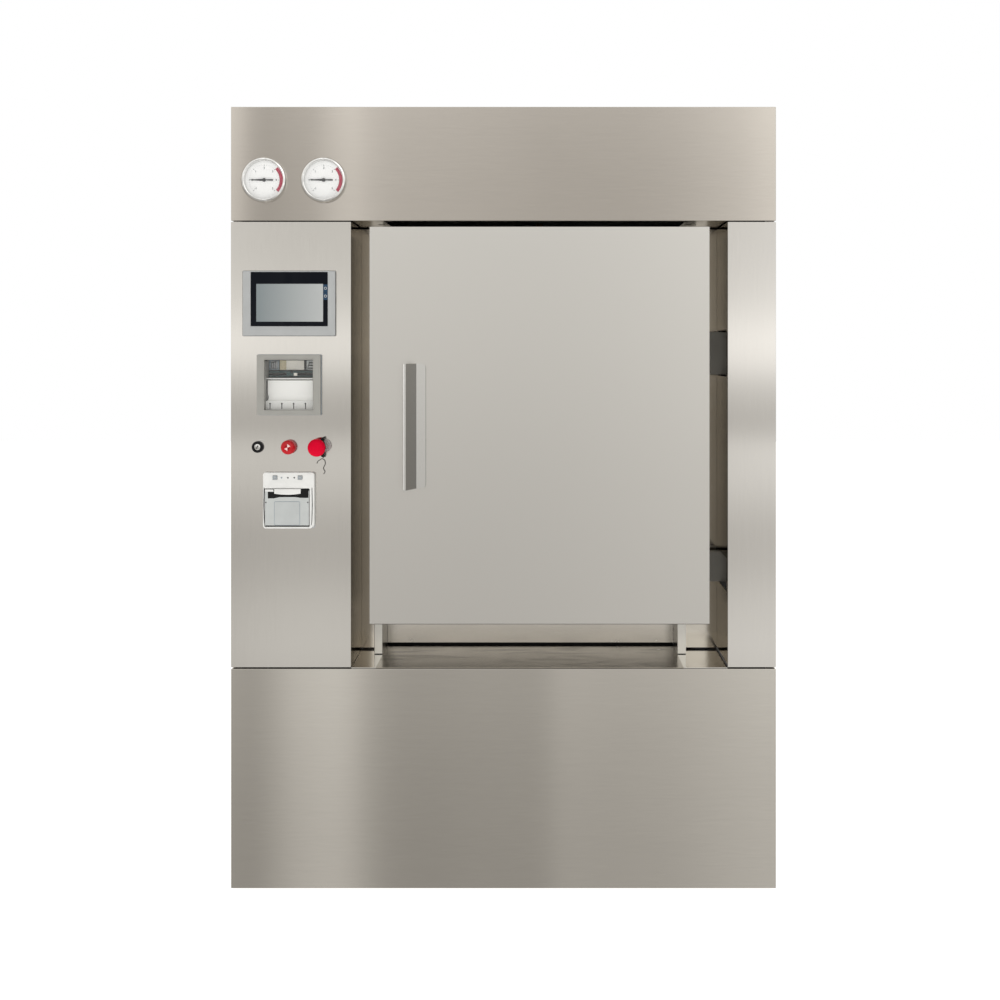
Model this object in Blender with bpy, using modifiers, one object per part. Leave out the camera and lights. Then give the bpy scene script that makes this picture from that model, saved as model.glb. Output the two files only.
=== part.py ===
"""Floor-standing steam steriliser with a side-hinged pressure door.

Frame: metres, +Z up, origin on the floor under the middle of the machine.
The door and controls face -Y, and X runs to the right as seen from the front.
Depths called d are measured backwards from the plane of the front panels.
"""

import math

import bmesh
import bpy
from mathutils import Matrix, Vector

# ---------------------------------------------------------------- driving dimensions
WIDTH, DEPTH, HEIGHT = 1.300, 1.250, 1.868
HALF = WIDTH / 2
SHEET = 0.002  # cabinet sheet metal
GAP = 0.0005  # between neighbouring pieces
RETURN = 0.022  # folded edge of a cabinet panel
PANEL_FOOT = 0.004  # cabinet skirt above the floor

SILL_Z = 0.5305  # floor of the door recess
CEILING_Z = 1.5965  # underside of the header panel
RECESS_LEFT, RECESS_RIGHT, RECESS_DEPTH = -0.364, 0.535, 0.183

DOOR_LEFT, DOOR_RIGHT = -0.318, 0.490
DOOR_BOTTOM, DOOR_TOP = 0.637, 1.581
DOOR_FRONT, SKIN_RIM = -0.010, 0.128  # depths of the door's skin
PLATE_FRONT, PLATE_REAR = 0.130, 0.1602  # depths of the pressure plate

CHAMBER_X, CHAMBER_Z = 0.086, 1.109
CHAMBER_WIDTH, CHAMBER_HEIGHT, CHAMBER_CORNER = 0.610, 0.760, 0.040
CHAMBER_WALL, CHAMBER_REAR = 0.006, 1.100
FLANGE_FRONT, FLANGE_REAR = 0.1635, 0.2085
JACKET_SPACE, JACKET_WALL, RIB_HEIGHT = 0.025, 0.005, 0.040
JACKET_FRONT, JACKET_REAR = 0.340, 1.080

HINGE_X, HINGE_D = 0.590, 0.060
HINGE_HEIGHTS, HINGE_SLOTS = (0.748, 1.280), (0.080, 0.112)
ARM_HEIGHTS, HINGE_SHAFT = (0.074, 0.106), 0.014

PORTAL_LEFT, PORTAL_RIGHT = -0.305, 0.430  # opening in front of the vessel
POST_WIDTH, POST_FRONT, SKIRT_FRONT = 0.0205, 0.132, 0.233

BOLT_XS, BOLT_D, BOLT_RADIUS = (-0.303, 0.452), 0.098, 0.008
BOLT_HOLE = BOLT_RADIUS + 0.0008
LOCK_FRONT, LOCK_REAR = BOLT_D - 0.006, BOLT_D + 0.006
GEAR_MODULE, GEAR_TEETH = 0.004, 15
PINION_RADIUS = GEAR_MODULE * GEAR_TEETH / 2
PINION_X, PINION_Z = sum(BOLT_XS) / 2, CHAMBER_Z

GAUGE_XS, GAUGE_Z = (-0.570, -0.428), 1.693
HMI_AT, RECORDER_AT, PRINTER_AT = (-0.510, 1.399), (-0.510, 1.205), (-0.511, 0.930)
KEY_AT, STOP_AT, ESTOP_AT = (-0.5855, 1.057), (-0.511, 1.057), (-0.4405, 1.057)
PANEL_HOLE = 0.0115  # hole for a 22 mm control

ROUND = 24  # sides of a small round piece


def at(x, d, z):
    """Point from its x, its depth behind the front panels and its height."""
    return Vector((x, d - DEPTH / 2, z))


# ---------------------------------------------------------------- materials
FINISHES = {
    "brushed_steel": ((0.62, 0.60, 0.57), 0.32, 1.0),
    "satin_door": ((0.70, 0.69, 0.67), 0.38, 1.0),
    "mill_steel": ((0.50, 0.50, 0.49), 0.45, 1.0),
    "painted_steel": ((0.36, 0.38, 0.40), 0.50, 0.0),
    "pump_blue": ((0.10, 0.22, 0.36), 0.45, 0.0),
    "light_plastic": ((0.85, 0.84, 0.81), 0.45, 0.0),
    "grey_plastic": ((0.55, 0.55, 0.54), 0.45, 0.0),
    "black_plastic": ((0.03, 0.03, 0.03), 0.40, 0.0),
    "red_plastic": ((0.70, 0.02, 0.05), 0.30, 0.0),
    "silicone": ((0.75, 0.72, 0.66), 0.60, 0.0),
    "paper": ((0.93, 0.92, 0.89), 0.80, 0.0),
}


def material(name):
    found = bpy.data.materials.get(name)
    if found:
        return found
    colour, roughness, metallic = FINISHES[name]
    made = bpy.data.materials.new(name)
    made.use_nodes = True
    shader = made.node_tree.nodes["Principled BSDF"]
    shader.inputs["Base Color"].default_value = (*colour, 1.0)
    shader.inputs["Roughness"].default_value = roughness
    shader.inputs["Metallic"].default_value = metallic
    return made


# ---------------------------------------------------------------- modelling helpers
def clear_scene():
    for old in list(bpy.data.objects):
        bpy.data.objects.remove(old, do_unlink=True)


def link(name, data):
    obj = bpy.data.objects.new(name, data)
    bpy.context.scene.collection.objects.link(obj)
    return obj


def baked(obj):
    """The object as a plain mesh: modifiers applied, a curve's caps welded."""
    bpy.context.view_layer.update()
    evaluated = obj.evaluated_get(bpy.context.evaluated_depsgraph_get())
    mesh = bpy.data.meshes.new_from_object(evaluated)
    shape = bmesh.new()
    shape.from_mesh(mesh)
    bmesh.ops.remove_doubles(shape, verts=shape.verts, dist=1e-6)
    shape.to_mesh(mesh)
    shape.free()
    mesh.transform(obj.matrix_world)
    name = obj.name
    bpy.data.objects.remove(obj)
    return link(name, mesh)


def box(low, high, name="box"):
    """Block between two corners."""
    mesh = bpy.data.meshes.new(name)
    shape = bmesh.new()
    bmesh.ops.create_cube(shape, size=1.0)
    size = Vector(high) - Vector(low)
    middle = (Vector(high) + Vector(low)) / 2
    place = Matrix.Translation(middle) @ Matrix.Diagonal((*size, 1.0))
    bmesh.ops.transform(shape, matrix=place, verts=shape.verts)
    shape.to_mesh(mesh)
    shape.free()
    return link(name, mesh)


def block(x0, x1, d0, d1, z0, z1, name="block"):
    """Block between two x, two depths and two heights."""
    return box(at(x0, d0, z0), at(x1, d1, z1), name)


def rod(start, end, radius, name="rod", sides=ROUND):
    """Round bar between two points."""
    mesh = bpy.data.meshes.new(name)
    shape = bmesh.new()
    start, end = Vector(start), Vector(end)
    turn = (end - start).to_track_quat("Z", "Y").to_matrix().to_4x4()
    place = Matrix.Translation((start + end) / 2) @ turn
    bmesh.ops.create_cone(
        shape,
        cap_ends=True,
        segments=sides,
        radius1=radius,
        radius2=radius,
        depth=(end - start).length,
        matrix=place,
    )
    shape.to_mesh(mesh)
    shape.free()
    return link(name, mesh)


def combine(base, operation, *others):
    """Cuts the other objects from the base, or joins them to it, and removes them."""
    for other in others:
        modifier = base.modifiers.new(operation.lower(), "BOOLEAN")
        modifier.operation = operation
        modifier.object = other
        modifier.solver = "EXACT"
        base = baked(base)
        bpy.data.objects.remove(other)
    return base


def cut(base, *cutters):
    return combine(base, "DIFFERENCE", *cutters)


def join(base, *others):
    return combine(base, "UNION", *others)


# How a flat outline's own axes and its thickness lie in the machine.
PLANES = {
    "plan": (0.0, 0.0, 0.0),  # outline (x, y), thickness along z
    "front": (math.pi / 2, 0.0, 0.0),  # outline (x, z), thickness along y
    "side": (math.pi / 2, 0.0, math.pi / 2),  # outline (y, z), thickness along x
}


def prism(loops, low, high, plane, name="prism"):
    """Flat outline with holes, as thick as from low to high along its plane's normal."""
    curve = bpy.data.curves.new(name, "CURVE")
    curve.dimensions = "2D"
    curve.fill_mode = "BOTH"
    curve.extrude = (high - low) / 2
    for loop in loops:
        spline = curve.splines.new("POLY")
        spline.points.add(len(loop) - 1)
        spline.use_cyclic_u = True
        for point, (u, v) in zip(spline.points, loop):
            point.co = (u, v, 0.0, 1.0)
    obj = link(name, curve)
    obj.rotation_euler = PLANES[plane]
    middle = (low + high) / 2
    obj.location = {"plan": (0, 0, middle), "front": (0, middle, 0), "side": (middle, 0, 0)}[plane]
    return baked(obj)


def turned(profile, origin, name, axis="front", sides=ROUND):
    """Solid of revolution. The profile is (radius, height) from its top on the axis down
    to its bottom; height runs forwards on a front-facing piece and upwards on an upright one."""
    mesh = bpy.data.meshes.new(name)
    shape = bmesh.new()
    points = [shape.verts.new((radius, 0.0, height)) for radius, height in profile]
    for first, second in zip(points, points[1:]):
        shape.edges.new((first, second))
    shape.to_mesh(mesh)
    shape.free()
    obj = link(name, mesh)
    screw = obj.modifiers.new("turn", "SCREW")
    screw.steps = screw.render_steps = sides
    screw.use_merge_vertices = True
    screw.merge_threshold = 1e-5
    obj.rotation_euler = {
        "front": (math.pi / 2, 0.0, 0.0),
        "up": (0.0, 0.0, 0.0),
        "right": (0.0, math.pi / 2, 0.0),
    }[axis]
    obj.location = origin
    return baked(obj)


def arc(centre, radius, start, end, steps):
    """Points on an arc, angles in degrees."""
    angles = [math.radians(start + (end - start) * i / steps) for i in range(steps + 1)]
    return [
        (centre[0] + radius * math.cos(a), centre[1] + radius * math.sin(a)) for a in angles
    ]


def rounded_rectangle(x0, x1, z0, z1, radius, steps=5):
    corners = ((x1, z1, -1, -1), (x0, z1, 1, -1), (x0, z0, 1, 1), (x1, z0, -1, 1))
    loop = []
    for i, (x, z, to_x, to_z) in enumerate(corners):
        centre = (x + to_x * radius, z + to_z * radius)
        loop += arc(centre, radius, 90 * i, 90 * (i + 1), steps)
    return loop


def chamber_outline(offset=0.0):
    """Cross section of the chamber, grown outwards by offset."""
    half_w, half_h = CHAMBER_WIDTH / 2 + offset, CHAMBER_HEIGHT / 2 + offset
    return rounded_rectangle(
        CHAMBER_X - half_w,
        CHAMBER_X + half_w,
        CHAMBER_Z - half_h,
        CHAMBER_Z + half_h,
        CHAMBER_CORNER + offset,
    )


def folded(path, thickness):
    """Closed outline of a sheet folded along path, with its thickness on the path's left."""
    inner = []
    last = len(path) - 1
    for i, point in enumerate(path):
        here = Vector(point)
        before = (here - Vector(path[i - 1])).normalized() if i else None
        after = (Vector(path[i + 1]) - here).normalized() if i < last else None
        along = (before + after).normalized() if before and after else before or after
        left = Vector((-along.y, along.x))
        if before and after:
            left /= Vector((-before.y, before.x)).dot(left)
        inner.append(tuple(here + left * thickness))
    return list(path) + inner[::-1]


def plan_path(*points):
    """(x, d) points as (x, y)."""
    return [(x, d - DEPTH / 2) for x, d in points]


def side_path(*points):
    """(d, z) points as (y, z)."""
    return [(d - DEPTH / 2, z) for d, z in points]


def front_prism(loops, d0, d1, name="prism"):
    return prism(loops, d0 - DEPTH / 2, d1 - DEPTH / 2, "front", name)


def pipe(name, corners, radius, bend):
    """Round pipe through the corner points, with each corner turned on a bend radius."""
    points = [Vector(corners[0])]
    for before, corner, after in zip(corners, corners[1:], corners[2:]):
        corner = Vector(corner)
        to_before = (Vector(before) - corner).normalized()
        to_after = (Vector(after) - corner).normalized()
        for i in range(7):
            t = i / 6
            start, end = corner + to_before * bend, corner + to_after * bend
            points.append(start * (1 - t) ** 2 + corner * 2 * t * (1 - t) + end * t**2)
    points.append(Vector(corners[-1]))
    curve = bpy.data.curves.new(name, "CURVE")
    curve.dimensions = "3D"
    curve.bevel_depth = radius
    curve.bevel_resolution = 2
    curve.use_fill_caps = True
    spline = curve.splines.new("POLY")
    spline.points.add(len(points) - 1)
    for point, co in zip(spline.points, points):
        point.co = (*co, 1.0)
    return baked(link(name, curve))


PARTS = None  # collection of the finished pieces


def place(obj, name, finish, pivot=None, smooth=True):
    """Names a finished piece, gives it its material and hangs it on its pivot."""
    obj.name = obj.data.name = name
    obj.data.materials.clear()
    obj.data.materials.append(material(finish))
    if smooth:
        obj.data.shade_smooth()
        obj.data.set_sharp_from_angle(angle=math.radians(35))
    bpy.context.scene.collection.objects.unlink(obj)
    PARTS.objects.link(obj)
    if pivot:
        obj.data.transform(Matrix.Translation(-pivot.location))
        obj.parent = pivot
    return obj


def pivot(name, location):
    """Empty on a joint's axis."""
    empty = link(name, None)
    empty.location = location
    return empty


# ---------------------------------------------------------------- cabinet
def ring(x0, x1, d0, d1, z0, z1, width):
    """Flat rectangular ring of square tube."""
    outer = plan_path((x0, d0), (x1, d0), (x1, d1), (x0, d1))
    w = width
    inner = plan_path((x0 + w, d0 + w), (x1 - w, d0 + w), (x1 - w, d1 - w), (x0 + w, d1 - w))
    return prism([outer, inner], z0, z1, "plan")


def build_chassis():
    side, post, tube = HALF - 0.005, 0.040, 0.050
    base_low, base_high, top = 0.060, 0.110, 1.840
    front_d, rear_d, post_d = 0.030, 1.220, 0.190
    frame = ring(-side, side, front_d, rear_d, base_low, base_high, tube)
    pieces = [ring(-side, side, post_d, rear_d, top - post, top, post)]
    reach = side - tube + 0.005
    for d in (0.300, 0.680, 1.000):
        pieces.append(block(-reach, reach, d, d + tube, base_low + 0.005, base_high))
    for x in (0.002 - side, side - post + 0.002):
        for d in (post_d + 0.002, rear_d - post + 0.002):
            inner = post - 0.004
            pieces.append(block(x, x + inner, d, d + inner, base_high - 0.010, top - post + 0.010))
    place(join(frame, *pieces), "chassis_frame", "mill_steel", smooth=False)

    stem_top = base_low - 0.0003
    for row, d in (("front", 0.060), ("rear", 1.190)):
        for side_name, x in (("left", -0.600), ("right", 0.600)):
            profile = [
                (0.0, stem_top),
                (0.010, stem_top),
                (0.010, 0.016),
                (0.022, 0.012),
                (0.030, 0.008),
                (0.030, 0.0),
                (0.0, 0.0),
            ]
            foot = turned(profile, at(x, d, 0.0), "foot", "up")
            place(foot, f"levelling_foot_{row}_{side_name}", "mill_steel")


def build_cabinet_panels():
    header = prism(
        [folded(side_path((0.183, CEILING_Z), (0, CEILING_Z), (0, HEIGHT), (RETURN, HEIGHT)), -SHEET)],
        -HALF,
        HALF,
        "side",
    )
    behind = RETURN + GAP
    cutters = [
        block(x0, x1, behind, 0.20, CEILING_Z - 0.01, CEILING_Z + 0.01)
        for x0, x1 in ((-0.70, -0.6275), (0.6275, 0.70))
    ]
    cutters.append(block(-0.285, 0.435, 0.016, 0.20, CEILING_Z - 0.01, CEILING_Z + 0.01))
    cutters += [rod(at(x, -0.02, GAUGE_Z), at(x, 0.02, GAUGE_Z), 0.0455) for x in GAUGE_XS]
    cutters += [
        rod(at(x, BOLT_D, CEILING_Z - 0.01), at(x, BOLT_D, CEILING_Z + 0.01), BOLT_HOLE)
        for x in BOLT_XS
    ]
    place(cut(header, *cutters), "header_panel", "brushed_steel")

    lower, upper = SILL_Z + 0.001, CEILING_Z - 0.003
    outline = folded(
        plan_path((-HALF, RETURN), (-HALF, 0), (RECESS_LEFT, 0), (RECESS_LEFT, RECESS_DEPTH)),
        SHEET,
    )
    fascia = prism([outline], lower, upper, "plan")
    windows = [
        block(x - w / 2, x + w / 2, -0.02, 0.02, z - h / 2, z + h / 2)
        for (x, z), w, h in (
            (HMI_AT, 0.198, 0.136),
            (RECORDER_AT, 0.136, 0.128),
            (PRINTER_AT, 0.108, 0.116),
        )
    ]
    windows += [
        rod(at(x, -0.02, z), at(x, 0.02, z), PANEL_HOLE) for x, z in (KEY_AT, STOP_AT, ESTOP_AT)
    ]
    place(cut(fascia, *windows), "control_fascia", "brushed_steel")

    outline = folded(
        plan_path((RECESS_RIGHT, RECESS_DEPTH), (RECESS_RIGHT, 0), (HALF, 0), (HALF, RETURN)),
        SHEET,
    )
    fascia = prism([outline], lower, upper, "plan")
    x0, x1 = RECESS_RIGHT - 0.01, RECESS_RIGHT + 0.01
    slots = [
        block(x0, x1, 0.020, 0.176, z - height / 2, z + height / 2)
        for z, height in zip(HINGE_HEIGHTS, HINGE_SLOTS)
    ]
    slots.append(block(x0, x1, 0.003, 0.20, lower - 0.01, lower + 0.005))
    place(cut(fascia, *slots), "right_fascia", "brushed_steel")

    top = SILL_Z - 0.003
    path = side_path((RETURN, PANEL_FOOT), (0, PANEL_FOOT), (0, top), (RETURN, top))
    lower_panel = prism([folded(path, -SHEET)], -HALF, HALF, "side")
    place(lower_panel, "lower_front_panel", "brushed_steel")

    front_d, rear_d = RETURN + 0.0015, DEPTH - 0.003
    for name, sign in (("left_side_panel", -1), ("right_side_panel", 1)):
        inner = HALF - RETURN
        path = plan_path(
            (sign * inner, front_d), (sign * HALF, front_d), (sign * HALF, rear_d), (sign * inner, rear_d)
        )
        panel = prism([folded(path, sign * SHEET)], PANEL_FOOT, HEIGHT - 0.0025, "plan")
        place(panel, name, "brushed_steel")

    top_panel = block(-HALF, HALF, RETURN + GAP, DEPTH - 0.0025, HEIGHT - SHEET, HEIGHT)
    place(top_panel, "top_panel", "brushed_steel")


def build_recess():
    low, high, flange_low, flange_high, radius = 0.5350, 1.593, 0.652, 1.562, 0.027
    flange_left, flange_right = -0.298, 0.470
    foot_left, foot_right = PORTAL_LEFT - POST_WIDTH - GAP, PORTAL_RIGHT + POST_WIDTH + GAP
    outline = [(foot_left, low), (foot_left, flange_low), (flange_left, flange_low)]
    outline += arc((flange_left + radius, flange_high - radius), radius, 180, 90, 5)
    outline += arc((flange_right - radius, flange_high - radius), radius, 90, 0, 5)
    outline += [(flange_right, flange_low), (foot_right, flange_low), (foot_right, low)]
    outline += [(0.5430, low), (0.5430, high), (-0.3720, high), (-0.3720, low)]
    place(front_prism([outline], 0.185, 0.187), "recess_back_panel", "brushed_steel")

    skirt = block(PORTAL_LEFT + GAP, PORTAL_RIGHT - GAP, SKIRT_FRONT, SKIRT_FRONT + SHEET, 0.5365, 0.655)
    place(skirt, "portal_skirt", "brushed_steel", smooth=False)

    path = side_path((0.245, SILL_Z - 0.015), (0.245, SILL_Z), (0.001, SILL_Z))
    sill = prism([folded(path, SHEET)], RECESS_LEFT + GAP, RECESS_RIGHT - GAP, "side")
    drain_gap = block(PORTAL_LEFT + GAP, PORTAL_RIGHT - GAP, 0.2185, 0.26, SILL_Z - 0.03, SILL_Z + 0.01)
    place(cut(sill, drain_gap), "sill_tray", "brushed_steel", smooth=False)

    lug_low, lug_high = 0.6175, 0.6325
    for name, x0, lug0, lug1, bolt_x in (
        ("left_door_post", PORTAL_LEFT - POST_WIDTH, -0.318, -0.284, BOLT_XS[0]),
        ("right_door_post", PORTAL_RIGHT, PORTAL_RIGHT, 0.468, BOLT_XS[1]),
    ):
        post = block(x0, x0 + POST_WIDTH, POST_FRONT, SKIRT_FRONT, SILL_Z + 0.0003, lug_high - 0.002)
        lug = block(lug0, lug1, BOLT_D - 0.015, POST_FRONT + 0.020, lug_low, lug_high)
        socket = rod(at(bolt_x, BOLT_D, lug_low - 0.01), at(bolt_x, BOLT_D, lug_high + 0.01), BOLT_HOLE)
        place(cut(join(post, lug), socket), name, "brushed_steel")


# ---------------------------------------------------------------- pressure vessel
def build_vessel():
    drain_d = 0.270
    outer = front_prism([chamber_outline(CHAMBER_WALL)], FLANGE_REAR + 0.0003, CHAMBER_REAR + CHAMBER_WALL)
    inner = front_prism([chamber_outline()], 0.19, CHAMBER_REAR)
    floor_z = CHAMBER_Z - CHAMBER_HEIGHT / 2
    drain = rod(at(CHAMBER_X, drain_d, floor_z - 0.03), at(CHAMBER_X, drain_d, floor_z + 0.01), 0.020)
    place(cut(outer, inner, drain), "chamber", "mill_steel")

    inside = CHAMBER_WALL + JACKET_SPACE
    outside = inside + JACKET_WALL
    jacket = front_prism([chamber_outline(outside), chamber_outline(inside)], JACKET_FRONT, JACKET_REAR)
    ribs = [
        front_prism([chamber_outline(outside + RIB_HEIGHT), chamber_outline(outside - 0.001)], d, d + 0.012)
        for d in (0.420, 0.600, 0.800, 1.000)
    ]
    place(join(jacket, *ribs), "jacket", "mill_steel")

    flange_outline = rounded_rectangle(-0.296, 0.468, 0.660, 1.560, 0.025)
    flange = front_prism([flange_outline, chamber_outline()], FLANGE_FRONT, FLANGE_REAR)
    groove = front_prism([chamber_outline(0.040), chamber_outline(0.028)], 0.150, FLANGE_FRONT + 0.008)
    place(cut(flange, groove), "chamber_flange", "mill_steel")

    gasket = front_prism(
        [chamber_outline(0.0395), chamber_outline(0.0285)], PLATE_REAR + 0.0004, FLANGE_FRONT + 0.0076
    )
    place(gasket, "door_gasket", "silicone")

    leg, low, beam, top = 0.036, 0.1103, 0.612, 0.6526
    pieces = [ring(-0.240, 0.412, 0.305, 1.045, beam, top, leg + 0.004)]
    for x in (-0.238, 0.374):
        for d in (0.307, 1.007):
            pieces.append(block(x, x + leg, d, d + leg, low, beam + 0.010))
    place(join(*pieces), "vessel_cradle", "mill_steel", smooth=False)

    rest_z = floor_z + 0.0003
    rails = [block(x, x + 0.020, 0.220, 1.080, rest_z, rest_z + 0.020) for x in (-0.120, 0.272)]
    ties = [block(-0.119, 0.291, d, d + 0.030, rest_z, rest_z + 0.006) for d in (0.400, 0.950)]
    place(join(*rails, *ties), "loading_rails", "mill_steel", smooth=False)


# ---------------------------------------------------------------- door
def involute(base, radius):
    """Angle of the involute of a base circle where it reaches a radius."""
    ratio = math.sqrt(max((radius / base) ** 2 - 1, 0.0))
    return ratio - math.atan(ratio)


def pinion_outline():
    """Involute gear with a tooth centred on +X and a little backlash."""
    pressure = math.radians(20)
    base = PINION_RADIUS * math.cos(pressure)
    root, tip = PINION_RADIUS - 1.15 * GEAR_MODULE, PINION_RADIUS + 0.88 * GEAR_MODULE
    half_tooth = 0.232 * 2 * math.pi / GEAR_TEETH
    at_pitch = involute(base, PINION_RADIUS)
    radii = [root] + [base + (tip - base) * i / 3 for i in range(4)]
    flank = [(r, half_tooth + at_pitch - involute(base, max(r, base))) for r in radii]
    loop = []
    for tooth in range(GEAR_TEETH):
        middle = 2 * math.pi * tooth / GEAR_TEETH
        sides = [(r, middle - a) for r, a in flank] + [(r, middle + a) for r, a in flank[::-1]]
        loop += [(PINION_X + r * math.cos(a), PINION_Z + r * math.sin(a)) for r, a in sides]
    return loop


def rack_outline(pitch_x, back_x, low, high, phase):
    """Toothed bar whose teeth point from back_x towards the pinion, one centred on phase."""
    towards = 1 if pitch_x > back_x else -1
    pitch = math.pi * GEAR_MODULE
    root, tip = 1.15 * GEAR_MODULE, 0.88 * GEAR_MODULE
    slope = math.tan(math.radians(20))
    half = 0.232 * pitch
    edge = [(back_x, low), (pitch_x - towards * root, low)]
    first = math.ceil((low + half * 2 - phase) / pitch)
    last = math.floor((high - half * 2 - phase) / pitch)
    for tooth in range(first, last + 1):
        z = phase + tooth * pitch
        edge += [
            (pitch_x - towards * root, z - half - root * slope),
            (pitch_x + towards * tip, z - half + tip * slope),
            (pitch_x + towards * tip, z + half - tip * slope),
            (pitch_x - towards * root, z + half + root * slope),
        ]
    return edge + [(pitch_x - towards * root, high), (back_x, high)]


def build_lock(door):
    bore = 0.0103
    wheel = front_prism([pinion_outline()], LOCK_FRONT, LOCK_REAR)
    centre = (PINION_X, PINION_Z)
    hole = rod(at(centre[0], 0.08, centre[1]), at(centre[0], 0.12, centre[1]), bore)
    axle = pivot("lock_pinion_axis", at(centre[0], BOLT_D, centre[1]))
    place(cut(wheel, hole), "lock_pinion", "mill_steel", axle)

    teeth_low, teeth_high = PINION_Z - 0.060, PINION_Z + 0.060
    pitch = math.pi * GEAR_MODULE
    bars = (
        ("upper_lock_bar", 1, PINION_X - PINION_RADIUS, -0.024, 1.450, 1.5795, 0.0),
        ("lower_lock_bar", -1, PINION_X + PINION_RADIUS, 0.024, 0.738, 0.6385, pitch / 2),
    )
    for name, up, pitch_x, back, bar_z, tip_z, phase in bars:
        bar_low, bar_high = bar_z, bar_z + 0.030
        low, high = (teeth_low, bar_low + 0.005) if up > 0 else (bar_high - 0.005, teeth_high)
        rack = front_prism(
            [rack_outline(pitch_x, pitch_x + back, low, high, PINION_Z + phase)], LOCK_FRONT, LOCK_REAR
        )
        left, right = BOLT_XS[0] - 0.0095, BOLT_XS[1] + 0.0095
        cross = block(left, right, LOCK_FRONT + 0.001, LOCK_REAR - 0.001, bar_low, bar_high)
        bolts = [rod(at(x, BOLT_D, bar_z + 0.015), at(x, BOLT_D, tip_z), BOLT_RADIUS) for x in BOLT_XS]
        slide = pivot(name + "_slide", at(PINION_X, BOLT_D, bar_z))
        place(join(rack, cross, *bolts), name, "mill_steel", slide)
        slide.parent = door
        slide.location -= door.location
    axle.parent = door
    axle.location -= door.location

    rear = PLATE_FRONT - 0.0004
    gearbox = block(-0.100, 0.118, 0.1065, rear, PINION_Z - 0.049, PINION_Z + 0.049)
    motor = rod(at(-0.050, 0.020, PINION_Z), at(-0.050, 0.110, PINION_Z), 0.035)
    shaft = rod(at(PINION_X, 0.086, PINION_Z), at(PINION_X, 0.110, PINION_Z), 0.010)
    place(join(gearbox, motor, shaft), "lock_gearmotor", "painted_steel", door)


def build_hinge(door):
    leg, reach, strap = (-0.008, 0.020), 0.102, (0.048, 0.0696)
    bar_inner, end, inside = 0.077, -0.1115, -0.1025
    pieces = []
    for z, height in zip(HINGE_HEIGHTS, ARM_HEIGHTS):
        z0, z1 = z - height / 2, z + height / 2
        limits = (
            (leg[0], leg[1], 0.0, reach),
            (end, leg[1], bar_inner, reach),
            (end, inside, strap[0], reach),
            (-0.290, inside, strap[0], strap[1]),
        )
        arm = rod(at(HINGE_X, HINGE_D, z0), at(HINGE_X, HINGE_D, z1), 0.028)
        parts = [
            block(HINGE_X + x0, HINGE_X + x1, HINGE_D + y0, HINGE_D + y1, z0, z1)
            for x0, x1, y0, y1 in limits
        ]
        bore = rod(
            at(HINGE_X, HINGE_D, z0 - 0.01), at(HINGE_X, HINGE_D, z1 + 0.01), HINGE_SHAFT + 0.0004
        )
        pieces.append(cut(join(arm, *parts), bore))
    tie = block(0.300, 0.340, HINGE_D + strap[0], HINGE_D + strap[1], *HINGE_HEIGHTS)
    place(join(pieces[0], tie, pieces[1]), "hinge_yoke", "mill_steel", door)

    low, high = 0.684, 1.360
    post = block(0.6225, 0.6445, 0.030, 0.1897, low, high)
    shaft = rod(at(HINGE_X, HINGE_D, low), at(HINGE_X, HINGE_D, high), HINGE_SHAFT)
    lugs = []
    for z, height in zip(HINGE_HEIGHTS, ARM_HEIGHTS):
        for side in (-1, 1):
            near = z + side * (height / 2 + 0.0015)
            low_z, high_z = sorted((near, near + side * 0.020))
            lugs.append(block(0.570, 0.630, 0.040, 0.080, low_z, high_z))
    place(join(post, *lugs, shaft), "hinge_post", "mill_steel")


def build_door():
    door = pivot("door_hinge_axis", at(HINGE_X, HINGE_D, 0.0))
    skin = block(DOOR_LEFT, DOOR_RIGHT, DOOR_FRONT, SKIN_RIM, DOOR_BOTTOM, DOOR_TOP)
    hollow = block(
        DOOR_LEFT + SHEET,
        DOOR_RIGHT - SHEET,
        DOOR_FRONT + SHEET,
        SKIN_RIM + 0.01,
        DOOR_BOTTOM + SHEET,
        DOOR_TOP - SHEET,
    )
    holes = [
        rod(at(x, BOLT_D, z - 0.01), at(x, BOLT_D, z + 0.01), BOLT_HOLE)
        for x in BOLT_XS
        for z in (DOOR_BOTTOM, DOOR_TOP)
    ]
    place(cut(skin, hollow, *holes), "door_skin", "satin_door", door)

    outline = rounded_rectangle(-0.306, 0.478, 0.649, 1.569, 0.020, 3)
    plate = front_prism([outline], PLATE_FRONT, PLATE_REAR)
    place(plate, "door_plate", "mill_steel", door)

    thickness = 0.0035
    right, top, bottom = -0.184, 1.256, 0.959
    path = plan_path((right, -0.0103), (-0.209, -0.0103), (-0.229, -0.0565), (-0.234, -0.0565))
    handle = prism([folded(path, thickness)], bottom, top, "plan")
    corner = 0.010
    outline = [(-0.30, bottom)] + arc((right - corner, bottom + corner), corner, 270, 360, 4)
    outline += arc((right - corner, top - corner), corner, 0, 90, 4) + [(-0.30, top)]
    rounded = combine(handle, "INTERSECT", front_prism([outline], -0.10, 0.01))
    place(rounded, "door_handle", "brushed_steel", door)

    build_hinge(door)
    build_lock(door)


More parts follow.
